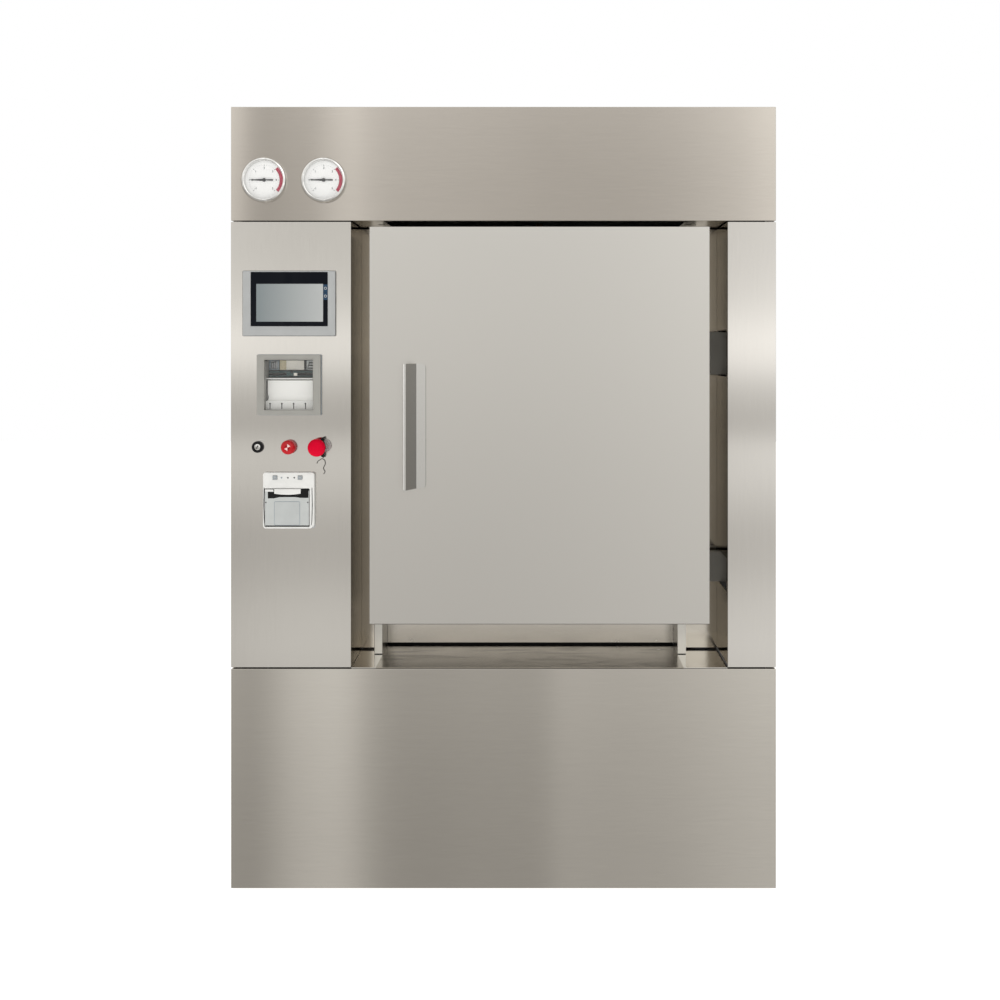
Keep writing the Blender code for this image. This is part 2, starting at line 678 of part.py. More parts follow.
# ---------------------------------------------------------------- plant inside the cabinet
def build_plant():
    pump_x, pump_z, low = 0.200, 0.260, 0.1103
    base = block(pump_x - 0.110, pump_x + 0.110, 0.270, 0.860, low, low + 0.015)
    bodies = [
        rod(at(pump_x, 0.280, pump_z), at(pump_x, 0.450, pump_z), 0.105),
        rod(at(pump_x, 0.540, pump_z), at(pump_x, 0.840, pump_z), 0.085),
        block(pump_x - 0.060, pump_x + 0.060, 0.300, 0.430, low, pump_z),
        block(pump_x - 0.060, pump_x + 0.060, 0.580, 0.800, low, pump_z),
        rod(at(pump_x, 0.360, pump_z), at(pump_x, 0.360, 0.420), 0.022),
    ]
    place(join(base, *bodies), "vacuum_pump", "pump_blue")

    half = 0.0447
    profile = [(0, half), (0.014, half), (0.014, 0.025), (0.040, 0.022), (0.040, -0.022)]
    profile += [(0.014, -0.025), (0.014, -half), (0, -half)]
    axis = pivot("pump_axis", at(pump_x, 0.495, pump_z))
    coupling = turned(profile, axis.location, "coupling")
    place(coupling, "pump_coupling", "painted_steel", axis)

    tank_x, tank_z, radius = -0.420, 0.330, 0.160
    half, dome, wall, port = 0.275, 0.045, 0.010, 0.020
    profile = [(0, half), (0.110, half), (radius, half - dome), (radius, dome - half)]
    profile += [(0.110, -half), (port, -half), (port, wall - half), (0.106, wall - half)]
    profile += [(radius - wall, dome - half), (radius - wall, half - dome), (0.106, half - wall)]
    tank = turned(profile + [(0, half - wall)], at(tank_x, 0.525, tank_z), "tank", sides=32)
    saddles = [block(tank_x - 0.09, tank_x + 0.09, d, d + 0.04, low, 0.25) for d in (0.305, 0.685)]
    place(join(tank, *saddles), "steam_generator", "mill_steel")

    cabinet = block(-0.600, -0.340, 0.300, 0.800, 0.800, 1.500)
    place(cabinet, "electrical_cabinet", "light_plastic", smooth=False)

    floor_z = CHAMBER_Z - CHAMBER_HEIGHT / 2 - CHAMBER_WALL
    corners = [
        at(CHAMBER_X, 0.270, floor_z - 0.0005),
        at(CHAMBER_X, 0.270, 0.520),
        at(pump_x, 0.270, 0.520),
        at(pump_x, 0.360, 0.520),
        at(pump_x, 0.360, 0.4205),
    ]
    place(pipe("drain", corners, 0.016, 0.035), "drain_pipe", "mill_steel")

    pipe_d, rise_x = 0.700, -0.315
    jacket_x = CHAMBER_X - CHAMBER_WIDTH / 2 - CHAMBER_WALL - JACKET_SPACE - JACKET_WALL
    corners = [
        at(tank_x, pipe_d, tank_z + radius + 0.0015),
        at(tank_x, pipe_d, 0.660),
        at(rise_x, pipe_d, 0.660),
        at(rise_x, pipe_d, 0.900),
        at(jacket_x - 0.0005, pipe_d, 0.900),
    ]
    place(pipe("steam", corners, 0.012, 0.030), "steam_pipe", "mill_steel")

    filter_at = at(0.530, 1.000, 1.150)
    profile = [(0, 0.30), (0.015, 0.30), (0.015, 0.275), (0.050, 0.255), (0.050, 0.045)]
    profile += [(0.015, 0.025), (0.015, 0), (0, 0)]
    housing = turned(profile, filter_at, "filter", "up")
    bracket = block(0.530, 0.6047, 0.990, 1.010, 1.280, 1.320)
    place(join(housing, bracket), "air_filter", "mill_steel")

    jacket_top = CHAMBER_Z + CHAMBER_HEIGHT / 2 + CHAMBER_WALL + JACKET_SPACE + JACKET_WALL
    profile = [(0, 0.155), (0.010, 0.155), (0.012, 0.110), (0.022, 0.100), (0.022, 0.040)]
    profile += [(0.013, 0.030), (0.013, 0), (0, 0)]
    valve = turned(profile, at(CHAMBER_X, 0.900, jacket_top + 0.0005), "valve", "up")
    outlet = rod(at(CHAMBER_X, 0.900, jacket_top + 0.07), at(CHAMBER_X, 0.960, jacket_top + 0.07), 0.013)
    place(join(valve, outlet), "safety_valve", "brushed_steel")


def build_rear():
    stub_z, protrusion = 0.370, 0.060
    stubs = [(-0.24, 0.022), (-0.12, 0.016), (0.0, 0.016), (0.12, 0.022), (0.24, 0.028)]
    header = block(-0.300, 0.300, 1.110, 1.170, stub_z - 0.035, stub_z + 0.035)
    pipes = [rod(at(x, 1.140, stub_z), at(x, DEPTH + protrusion, stub_z), r) for x, r in stubs]
    place(join(header, *pipes), "utility_manifold", "brushed_steel")

    rear = block(-HALF, HALF, DEPTH - SHEET, DEPTH, PANEL_FOOT, HEIGHT, "rear")
    holes = [rod(at(x, DEPTH - 0.02, stub_z), at(x, DEPTH + 0.02, stub_z), r + 0.0015) for x, r in stubs]
    place(cut(rear, *holes), "rear_panel", "brushed_steel")


# ---------------------------------------------------------------- controls
def build_gauges():
    for name, x in zip(("chamber_gauge", "jacket_gauge"), GAUGE_XS):
        profile = [(0, 0.0075), (0.0018, 0.0075), (0.0018, 0.003), (0.0472, 0.003)]
        profile += [(0.0472, 0.012), (0.0505, 0.012), (0.0525, 0.010), (0.0525, 0.0003)]
        profile += [(0.045, 0.0003), (0.045, -0.045), (0, -0.045)]
        case = turned(profile, at(x, 0, GAUGE_Z), "case", sides=36)
        place(case, name + "_case", "brushed_steel")

        hub = arc((x, GAUGE_Z), 0.0045, -150, 150, 10)
        tip = [(x - 0.036, GAUGE_Z + 0.0004), (x - 0.036, GAUGE_Z - 0.0004)]
        bore = arc((x, GAUGE_Z), 0.0021, 0, 330, 11)
        needle = front_prism([hub + tip, bore], -0.0062, -0.0050)
        axis = pivot(name + "_axis", at(x, -0.0056, GAUGE_Z))
        place(needle, name + "_needle", "black_plastic", axis)


def build_screen():
    x, z = HMI_AT
    bezel = block(x - 0.110, x + 0.110, -0.008, -0.0003, z - 0.077, z + 0.077)
    body = block(x - 0.098, x + 0.098, -0.002, 0.055, z - 0.067, z + 0.067)
    glass = block(x - 0.0912, x + 0.0925, -0.02, -0.0073, z - 0.0545, z + 0.0745)
    place(cut(join(bezel, body), glass), "hmi_panel", "grey_plastic", smooth=False)


def build_recorder():
    x, z = RECORDER_AT
    rim = block(x - 0.075, x + 0.075, -0.0028, -0.0003, z - 0.071, z + 0.071)
    body = block(x - 0.0675, x + 0.0675, -0.001, 0.165, z - 0.0635, z + 0.0635)
    cavity = block(x - 0.0585, x + 0.0585, -0.02, 0.060, z - 0.0605, z + 0.0600)
    chart = block(x - 0.058, x + 0.058, 0.014, 0.0605, z - 0.0606, z + 0.012)
    case = join(cut(join(rim, body), cavity), chart)
    place(case, "recorder_case", "light_plastic", smooth=False)

    hinge = pivot("recorder_hinge", at(x - 0.0755, -0.0090, z))
    frame = block(x - 0.0755, x + 0.0755, -0.0145, -0.0035, z - 0.0715, z + 0.0715)
    window = block(x - 0.0585, x + 0.0585, -0.03, 0.01, z - 0.0605, z + 0.0605)
    place(cut(frame, window), "recorder_door", "grey_plastic", hinge, smooth=False)

    slide = pivot("recorder_carriage_slide", at(x, 0.024, z + 0.033))
    carriage = block(x - 0.014, x + 0.014, 0.012, 0.036, z + 0.016, z + 0.050)
    place(carriage, "recorder_carriage", "black_plastic", slide, smooth=False)


def build_switches():
    plate = block(-0.605, -0.418, 0.0023, 0.0053, 1.034, 1.080)
    bore = 0.0078
    pieces, bores = [], []
    for (x, z), radius, front in (
        (KEY_AT, 0.0135, -0.0060),
        (STOP_AT, 0.0145, -0.0040),
        (ESTOP_AT, 0.0160, -0.0060),
    ):
        pieces.append(rod(at(x, front, z), at(x, -0.0003, z), radius))
        pieces.append(rod(at(x, front + 0.001, z), at(x, 0.004, z), PANEL_HOLE - 0.0004))
        pieces.append(block(x - 0.015, x + 0.015, 0.0045, 0.050, z - 0.015, z + 0.015))
        bores.append(rod(at(x, -0.03, z), at(x, 0.014, z), bore))
    place(cut(join(plate, *pieces), *bores), "switch_plate", "black_plastic")

    x, z = KEY_AT
    rotor = rod(at(x, -0.0075, z), at(x, 0.006, z), bore - 0.0004)
    keyway = block(x - 0.0008, x + 0.0008, -0.010, -0.002, z - 0.004, z + 0.004)
    place(cut(rotor, keyway), "key_switch_rotor", "brushed_steel", pivot("key_axis", at(x, 0, z)))

    stem = bore - 0.0005
    x, z = STOP_AT
    profile = [(0, 0.022), (0.010, 0.0212), (0.0155, 0.018), (0.0168, 0.014), (0.0160, 0.010)]
    profile += [(stem, 0.010), (stem, 0), (0, 0)]
    button = turned(profile, at(x, 0, z), "button")
    place(button, "stop_button", "red_plastic", pivot("stop_slide", at(x, 0, z)))

    x, z = ESTOP_AT
    slide = pivot("estop_slide", at(x, 0, z))
    plunger = rod(at(x, -0.0125, z), at(x, 0.004, z), stem)
    place(plunger, "estop_stem", "black_plastic", slide)
    profile = [(0, 0.040), (0.012, 0.0392), (0.0190, 0.036), (0.0208, 0.031), (0.0196, 0.027)]
    profile += [(0.0125, 0.0255), (0.0118, 0.0129), (0, 0.0129)]
    head = turned(profile, at(x, 0, z), "head", sides=32)
    axis = pivot("estop_axis", at(x, 0, z))
    place(head, "estop_cap", "red_plastic", axis)
    axis.parent = slide
    axis.location = (0, 0, 0)


def build_printer():
    x, z = PRINTER_AT
    bezel = block(x - 0.062, x + 0.062, -0.014, -0.0003, z - 0.067, z + 0.067)
    body = block(x - 0.0535, x + 0.0535, -0.005, 0.085, z - 0.0575, z + 0.0575)
    mouth = block(x - 0.056, x + 0.051, -0.03, -0.003, z - 0.0620, z + 0.029)
    well = block(x - 0.050, x + 0.049, -0.03, 0.080, z - 0.050, z + 0.029)
    keys = {"printer_power_button": -0.5421, "printer_feed_button": -0.4825}
    key_z, half_w, half_h = 0.985, 0.0050, 0.0045
    pockets = [
        block(kx - half_w - 0.0004, kx + half_w + 0.0004, -0.03, -0.0045, key_z - half_h - 0.0004, key_z + half_h + 0.0004)
        for kx in keys.values()
    ]
    case = cut(join(bezel, body), mouth, well, *pockets)
    place(case, "printer_bezel", "light_plastic", smooth=False)
    for name, kx in keys.items():
        key = block(kx - half_w, kx + half_w, -0.0152, -0.0062, key_z - half_h, key_z + half_h)
        place(key, name, "grey_plastic", pivot(name + "_slide", at(kx, -0.0152, key_z)), smooth=False)

    door_low, hinge_z, hinge_d = z - 0.0585, z - 0.0555, -0.0095
    door = block(x - 0.0548, x + 0.0495, -0.0145, -0.0045, door_low, z + 0.024)
    place(door, "printer_door", "grey_plastic", pivot("printer_hinge", at(x, hinge_d, hinge_z)), smooth=False)

    roll_at = at(x, 0.036, z - 0.014)
    half = 0.029
    core, radius = 0.006, 0.028
    profile = [(core, half), (radius, half), (radius, -half), (core, -half), (core, half)]
    roll = turned(profile, roll_at, "roll", "right")
    place(roll, "paper_roll", "paper", pivot("roll_axis", roll_at))


def main():
    global PARTS
    clear_scene()
    PARTS = bpy.data.collections.new("steam_steriliser")
    bpy.context.scene.collection.children.link(PARTS)
    build_chassis()
    build_cabinet_panels()
    build_recess()
    build_vessel()
    build_door()
    build_plant()
    build_rear()
    build_gauges()
    build_screen()
    build_recorder()
    build_switches()
    build_printer()


main()
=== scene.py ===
"""Looks of the floor-standing steam steriliser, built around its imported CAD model.

Metres, +Z up, front towards -Y. Every place comes from the CAD nodes' boxes: details are
given as offsets from the middle of the node that they belong to.
"""

import math

import bmesh
import bpy
from mathutils import Matrix, Vector


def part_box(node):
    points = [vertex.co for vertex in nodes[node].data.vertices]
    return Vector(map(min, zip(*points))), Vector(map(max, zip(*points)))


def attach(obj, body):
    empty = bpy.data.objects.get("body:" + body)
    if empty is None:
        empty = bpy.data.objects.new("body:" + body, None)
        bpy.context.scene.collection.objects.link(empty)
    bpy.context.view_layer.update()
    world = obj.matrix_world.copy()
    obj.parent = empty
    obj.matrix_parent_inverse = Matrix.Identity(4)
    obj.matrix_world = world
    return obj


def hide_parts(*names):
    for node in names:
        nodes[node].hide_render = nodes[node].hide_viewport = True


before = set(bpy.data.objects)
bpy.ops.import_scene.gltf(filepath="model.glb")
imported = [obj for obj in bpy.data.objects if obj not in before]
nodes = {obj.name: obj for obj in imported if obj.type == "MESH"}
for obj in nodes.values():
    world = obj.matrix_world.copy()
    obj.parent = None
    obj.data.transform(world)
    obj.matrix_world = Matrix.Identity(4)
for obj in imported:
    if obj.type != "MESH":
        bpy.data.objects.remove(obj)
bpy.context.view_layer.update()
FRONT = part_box("lower_front_panel")[0].y  # plane of the cabinet's front panels


def middle(node):
    low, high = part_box(node)
    return (low + high) / 2


# ---------------------------------------------------------------- material building
class Graph:
    """Short ways to build a node tree."""

    def __init__(self, tree):
        self.tree = tree

    def add(self, kind, inputs=None, **settings):
        node = self.tree.nodes.new("ShaderNode" + kind)
        for setting, value in settings.items():
            setattr(node, setting, value)
        for socket, value in (inputs or {}).items():
            self.join(value, node.inputs[socket])
        return node

    def join(self, value, socket):
        if isinstance(value, bpy.types.NodeSocket):
            self.tree.links.new(value, socket)
        else:
            socket.default_value = value

    def math(self, operation, a, b=0.0):
        return self.add("Math", {0: a, 1: b}, operation=operation).outputs[0]

    def between(self, value, low, high, out_low=0.0, out_high=1.0):
        wanted = {"Value": value, "From Min": low, "From Max": high}
        wanted.update({"To Min": out_low, "To Max": out_high})
        return self.add("MapRange", wanted).outputs["Result"]

    def blend(self, share, first, second):
        """Number that goes from first to second as share goes from 0 to 1."""
        return self.add("Mix", {0: share, 2: first, 3: second}, data_type="FLOAT").outputs[0]

    def mix(self, share, first, second):
        """Colour that goes from first to second as share goes from 0 to 1."""
        return self.add("Mix", {0: share, 6: first, 7: second}, data_type="RGBA").outputs[2]


class Finish(Graph):
    """A material under construction."""

    def __init__(self, name, colour, roughness, metallic=0.0, **sockets):
        self.material = bpy.data.materials.new(name)
        self.material.use_nodes = True
        super().__init__(self.material.node_tree)
        self.shader = self.tree.nodes["Principled BSDF"]
        self.colour = (*colour, 1.0)
        self.set("Base Color", self.colour)
        self.set("Roughness", roughness)
        self.set("Metallic", metallic)
        for socket, value in sockets.items():
            self.set(socket.replace("_", " "), value)
        self.place = self.add("TexCoord").outputs["Object"]

    def set(self, socket, value):
        self.join(value, self.shader.inputs[socket])

    def axis(self, index):
        return self.add("SeparateXYZ", {0: self.place}).outputs[index]

    def noise(self, scale, stretch=(1, 1, 1), detail=2.0, distortion=0.0):
        """Noise from 0 to 1: blotches of about 1 / scale metres, longer where stretch is small."""
        where = self.add("Mapping", {"Vector": self.place, "Scale": stretch}).outputs[0]
        wanted = {"Vector": where, "Scale": scale, "Detail": detail, "Distortion": distortion}
        return self.add("TexNoise", wanted).outputs["Fac"]

    def shade(self, factor):
        """The finish's own colour, multiplied by a varying factor."""
        node = self.add("Mix", {0: 1.0, 6: self.colour, 7: factor}, data_type="RGBA",
                        blend_type="MULTIPLY")
        return node.outputs[2]

    def tone(self, noise, low, high, darkest, lightest):
        """Varies the finish's own colour where noise goes from low to high."""
        self.set("Base Color", self.shade(self.between(noise, low, high, darkest, lightest)))

    def rough(self, noise, low, high, least, most):
        self.set("Roughness", self.between(noise, low, high, least, most))

    def bump(self, height, strength, distance):
        made = self.add("Bump", {"Height": height, "Strength": strength, "Distance": distance})
        self.set("Normal", made.outputs["Normal"])


GRAINS = {  # noise stretch along the brushing, and the direction that its highlights spread in
    "across": ((0.02, 1.0, 1.0), (0.02, 0.3, 1.0)),
    "upright": ((1.0, 1.0, 0.02), (1.0, 1.0, 0.05)),
    "deep": ((1.0, 0.02, 1.0), (1.0, 0.0, 1.0)),
}


def brushed(name, colour, roughness, grain, anisotropy):
    """Sheet steel with a brushed grain: fine streaks, soft blotches and a few faint smears."""
    finish = Finish(name, colour, roughness, 1.0, Anisotropic=anisotropy)
    stretch, spread = GRAINS[grain]
    streaks = finish.noise(1500, stretch, detail=4)
    broad = finish.noise(90, stretch, detail=2)
    blotches = finish.noise(2.2, detail=2, distortion=0.4)
    tone = finish.between(streaks, 0.3, 0.7, 0.97, 1.015)
    tone = finish.math("MULTIPLY", tone, finish.between(broad, 0.3, 0.7, 0.995, 1.003))
    tone = finish.math("MULTIPLY", tone, finish.between(blotches, 0.35, 0.65, 0.985, 1.01))
    finish.set("Base Color", finish.shade(tone))
    finish.rough(streaks, 0.3, 0.7, roughness * 0.94, roughness * 1.06)
    finish.bump(streaks, 0.06, 0.00002)
    finish.set("Tangent", finish.add("CombineXYZ", dict(enumerate(spread))).outputs[0])
    return finish


def polished(name, colour, roughness=0.12, smear=0.03):
    """Bright rolled steel with a little wave in the sheet and faint wiping marks."""
    finish = Finish(name, colour, roughness, 1.0)
    marks = finish.noise(26, (0.5, 1.0, 1.0), detail=5, distortion=1.2)
    finish.rough(marks, 0.4, 0.75, roughness, roughness + smear)
    finish.tone(marks, 0.3, 0.8, 1.0, 0.93)
    finish.bump(finish.noise(9, detail=1), 0.05, 0.002)
    return finish


def satin(name, colour, roughness, stretch=(1, 1, 1)):
    """Fine-ground sheet, whose grain is longer where stretch is small."""
    finish = Finish(name, colour, roughness, 1.0)
    fine = finish.noise(1400, stretch, detail=3)
    finish.tone(fine, 0.3, 0.7, 0.985, 1.01)
    finish.bump(fine, 0.08, 0.00003)
    return finish


def plastic(name, colour, roughness=0.42, texture=0.12, shine=0.5):
    """Moulded plastic with a fine spark texture and slight tone changes."""
    finish = Finish(name, colour, roughness)
    finish.set("Specular IOR Level", shine)
    fine = finish.noise(2600, detail=3)
    finish.tone(finish.noise(35, detail=2), 0.3, 0.7, 0.96, 1.02)
    finish.rough(fine, 0.3, 0.7, roughness - 0.04, roughness + 0.05)
    finish.bump(fine, texture, 0.00008)
    return finish


def painted(name, colour, roughness=0.4):
    """Sprayed enamel: orange peel and a little dust."""
    finish = Finish(name, colour, roughness, Coat_Weight=0.25, Coat_Roughness=0.2)
    dust = finish.noise(12, detail=5)
    finish.tone(dust, 0.4, 0.8, 1.0, 0.86)
    finish.rough(dust, 0.3, 0.8, roughness, roughness + 0.15)
    finish.bump(finish.noise(420, detail=2), 0.12, 0.0002)
    return finish


def mill(name, colour, roughness=0.42):
    """Rolled or machined steel that nobody polished."""
    finish = Finish(name, colour, roughness, 1.0)
    scale = finish.noise(55, detail=6, distortion=0.6)
    finish.tone(scale, 0.3, 0.75, 1.03, 0.8)
    finish.rough(scale, 0.3, 0.7, roughness - 0.06, roughness + 0.1)
    finish.bump(finish.noise(900, (1.0, 0.2, 1.0), detail=3), 0.12, 0.00008)
    return finish


def rubber(name, colour):
    finish = Finish(name, colour, 0.6)
    finish.tone(finish.noise(40), 0.3, 0.7, 0.92, 1.03)
    finish.bump(finish.noise(1800, detail=3), 0.2, 0.0001)
    return finish


def clear(name, colour=(0.9, 0.93, 0.95), alpha=0.1, roughness=0.04):
    """Thin glass or clear plastic, seen mostly as its reflection."""
    finish = Finish(name, colour, roughness, Alpha=alpha)
    finish.rough(finish.noise(60, detail=4), 0.4, 0.8, roughness, roughness + 0.06)
    return finish


def paper(name, colour):
    finish = Finish(name, colour, 0.8)
    fibre = finish.noise(900, detail=5)
    finish.tone(fibre, 0.3, 0.7, 0.96, 1.01)
    finish.bump(fibre, 0.15, 0.0001)
    return finish


def fascia(name, colour, cheek_shade_colour, inner_side):
    """Upright brushed front whose folded-back cheek is bright rolled steel, given a darker colour
    as painted shade inside the recess.
    """
    finish = brushed(name, colour, 0.11, "upright", 1.0)
    finish.set("Specular Tint", (0.58, 0.54, 0.48, 1.0))
    normal = finish.add("NewGeometry").outputs["True Normal"]
    facing = finish.add("SeparateXYZ", {0: normal}).outputs[0]
    cheek = finish.math("GREATER_THAN", finish.math("MULTIPLY", facing, inner_side), 0.5)
    rough = finish.shader.inputs["Roughness"].links[0].from_socket
    tone = finish.shader.inputs["Base Color"].links[0].from_socket
    finish.set("Roughness", finish.between(cheek, 0.0, 1.0, rough, 0.13))
    # The cheek's dark colour is painted shade, not a different steel.
    finish.set("Base Color", finish.mix(cheek, tone, (*cheek_shade_colour, 1.0)))
    return finish


def ledge():
    """Tray under the door: bright at both ends; between the posts darker, partly smears and partly
    painted shade under the door, and rougher.
    """
    finish = Finish("ledge_steel", (0.66, 0.64, 0.6), 0.14, 1.0)
    low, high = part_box("portal_skirt")
    inside = finish.math("GREATER_THAN", finish.axis(0), low.x)
    inside = finish.math("MULTIPLY", inside, finish.math("LESS_THAN", finish.axis(0), high.x))
    smears = finish.noise(16, (0.35, 1.6, 1.0), detail=4, distortion=1.4)
    # Between the posts the colour is darker: painted shade under the door, with smears in it.
    smears_and_shade = finish.mix(finish.between(smears, 0.52, 0.68), (0.42, 0.385, 0.33, 1.0),
                      (0.3, 0.275, 0.235, 1.0))
    finish.set("Base Color", finish.mix(inside, finish.colour, smears_and_shade))
    rough = finish.math("ADD", 0.12, finish.math("MULTIPLY", inside, 0.1))
    finish.set("Roughness", finish.math("ADD", rough, finish.between(smears, 0.4, 0.8, 0.0, 0.06)))
    finish.bump(finish.noise(900, (0.03, 1.0, 1.0), detail=3), 0.05, 0.00003)
    return finish


def side_shaded(finish, colour):
    """Gives a finish a darker tone on the faces that look sideways, as painted shade."""
    normal = finish.add("TexCoord").outputs["Normal"]
    facing = finish.math("ABSOLUTE", finish.add("SeparateXYZ", {0: normal}).outputs[0])
    side_shade = finish.math("GREATER_THAN", facing, 0.5)
    tone = finish.shader.inputs["Base Color"].links[0].from_socket
    finish.set("Base Color", finish.mix(side_shade, tone, (*colour, 1.0)))
    return finish


# ---------------------------------------------------------------- finishes
BRIGHT = (0.66, 0.625, 0.56)  # bright rolled steel
STEEL = (0.7, 0.68, 0.645)

HEADER = brushed("header_steel", (0.535, 0.5, 0.455), 0.1, "across", 1.0)
LOWER = brushed("lower_steel", (0.6, 0.575, 0.53), 0.1, "across", 1.0)
# The second colours are painted shade for the fascia cheeks inside the door recess.
LEFT = fascia("left_fascia_steel", STEEL, (0.2, 0.175, 0.145), 1.0)
RIGHT = fascia("right_fascia_steel", (0.69, 0.67, 0.64), (0.16, 0.14, 0.115), -1.0)
SIDES = brushed("side_steel", (0.62, 0.6, 0.57), 0.3, "upright", 0.8)
ROOF = brushed("roof_steel", (0.6, 0.58, 0.55), 0.34, "deep", 0.7)
MIRROR = polished("recess_steel", BRIGHT)
LEDGE = ledge()
# Posts and handle: the darker colour on their sideways faces is painted shade.
POST = side_shaded(satin("post_steel", (0.74, 0.725, 0.68), 0.3), (0.3, 0.29, 0.26))
SKIRT = polished("skirt_steel", (0.72, 0.695, 0.65), 0.22, 0.06)
DOOR = satin("door_steel", (0.68, 0.665, 0.635), 0.27, GRAINS["upright"][0])
HANDLE = side_shaded(satin("handle_steel", (0.68, 0.675, 0.655), 0.22), (0.42, 0.415, 0.4))
MILL = mill("mill_steel", (0.52, 0.51, 0.49))
CHAMBER = polished("chamber_steel", (0.66, 0.64, 0.61), 0.2, 0.1)
FRAME = painted("frame_enamel", (0.3, 0.31, 0.33))
BLUE = painted("pump_enamel", (0.05, 0.15, 0.32))
GREY_BOX = painted("electrical_enamel", (0.62, 0.63, 0.62))
HINGE_GREY = painted("hinge_enamel", (0.3, 0.285, 0.25))
BRASS = mill("brass", (0.7, 0.48, 0.22), 0.35)
# Near-white steel that paints the highlight on the handle's lip.
HIGHLIGHT_STEEL = polished("lip_highlight_steel", (0.96, 0.955, 0.94), 0.22)
CHROME = polished("chrome", (0.86, 0.86, 0.85), 0.1, 0.03)
WHITE = plastic("white_plastic", (0.77, 0.77, 0.75), 0.4)
BEIGE = plastic("recorder_grey", (0.34, 0.335, 0.31), 0.45, shine=0.3)
GREY = plastic("panel_grey", (0.42, 0.43, 0.43), 0.42, shine=0.3)
PALE = plastic("printer_grey", (0.52, 0.54, 0.53), 0.42)
BLACK = plastic("black_plastic", (0.012, 0.012, 0.012), 0.38, shine=0.1)
DARK = plastic("dark_grey_plastic", (0.045, 0.045, 0.045), 0.5, shine=0.15)
RED = plastic("red_gloss", (0.48, 0.006, 0.012), 0.16, 0.03, shine=0.35)
CRIMSON = plastic("crimson_plastic", (0.66, 0.001, 0.026), 0.4, 0.06, shine=0.06)
CREAM = plastic("cream_plastic", (0.9, 0.87, 0.79), 0.5)
TEAL = plastic("teal_strip", (0.06, 0.11, 0.11), 0.45, shine=0.2)
SLATE = plastic("slate_plastic", (0.3, 0.35, 0.39), 0.45)
SILICONE = rubber("silicone", (0.72, 0.69, 0.62))
GASKET = rubber("black_rubber", (0.02, 0.02, 0.02))
PAPER = paper("paper", (0.84, 0.84, 0.82))
DIAL = paper("dial_card", (0.92, 0.92, 0.91))
INK = plastic("printing_ink", (0.03, 0.03, 0.035), 0.6)
RED_INK = plastic("red_ink", (0.42, 0.02, 0.06), 0.6)
GLASS = clear("gauge_glass", alpha=0.03)
WINDOW = clear("window_plastic", (0.93, 0.94, 0.93), 0.025)
GUARD = clear("clear_guard", (0.46, 0.44, 0.43), 0.42, 0.14)
KEY_BLUE = plastic("key_blue", (0.025, 0.055, 0.1), 0.35, 0.04, shine=0.15)
DARKER_CREAM = plastic("darker_cream_plastic", (0.62, 0.55, 0.38), 0.5)
BLACK_GLOSS = plastic("black_gloss", (0.01, 0.01, 0.011), 0.25, 0.03, shine=0.12)
PINK = plastic("pale_pink_print", (0.86, 0.62, 0.6), 0.4, 0.04)
SEAL_WIRE = plastic("seal_wire", (0.05, 0.05, 0.045), 0.4)
WINDOW_GREY = plastic("window_grey", (0.5, 0.52, 0.515), 0.3, 0.03, shine=0.3)


def display_film():
    """Sleeping display: grey film under gloss, dark and cooler on the left and lighter to the
    right, a painted reflection.
    """
    finish = Finish("display_film", (0.4, 0.44, 0.46), 0.32)
    finish.set("Specular IOR Level", 0.2)
    low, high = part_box("hmi_panel")
    # The sweep from dark teal to light grey is a painted reflection.
    across = finish.between(finish.axis(0), low.x, high.x)
    tint = finish.mix(across, (0.165, 0.2, 0.21, 1.0), (0.5, 0.51, 0.505, 1.0))
    finish.set("Base Color", tint)
    finish.rough(finish.noise(3000, detail=2), 0.3, 0.7, 0.28, 0.36)
    return finish


def black_glass():
    finish = Finish("black_glass", (0.004, 0.005, 0.008), 0.08)
    finish.set("Specular IOR Level", 0.09)
    finish.rough(finish.noise(30, (1, 1, 0.3), detail=4), 0.4, 0.8, 0.06, 0.14)
    return finish


def chart_paper():
    """Recorder paper: a faint green grid on white."""
    finish = Finish("chart_paper", (0.88, 0.87, 0.845), 0.75)
    grid = None
    for index in (0, 2):
        wave = finish.math("PINGPONG", finish.axis(index), 0.0025)
        line = finish.math("LESS_THAN", wave, 0.00012)
        grid = finish.math("MAXIMUM", grid, line) if grid else line
    fibre = finish.noise(800, detail=4)
    tone = finish.shade(finish.between(fibre, 0.3, 0.7, 0.97, 1.01))
    share = finish.math("MULTIPLY", grid, 0.35)
    finish.set("Base Color", finish.mix(share, tone, (0.3, 0.55, 0.45, 1.0)))
    return finish


SCREEN = display_film()
BLACK_GLASS = black_glass()
CHART = chart_paper()

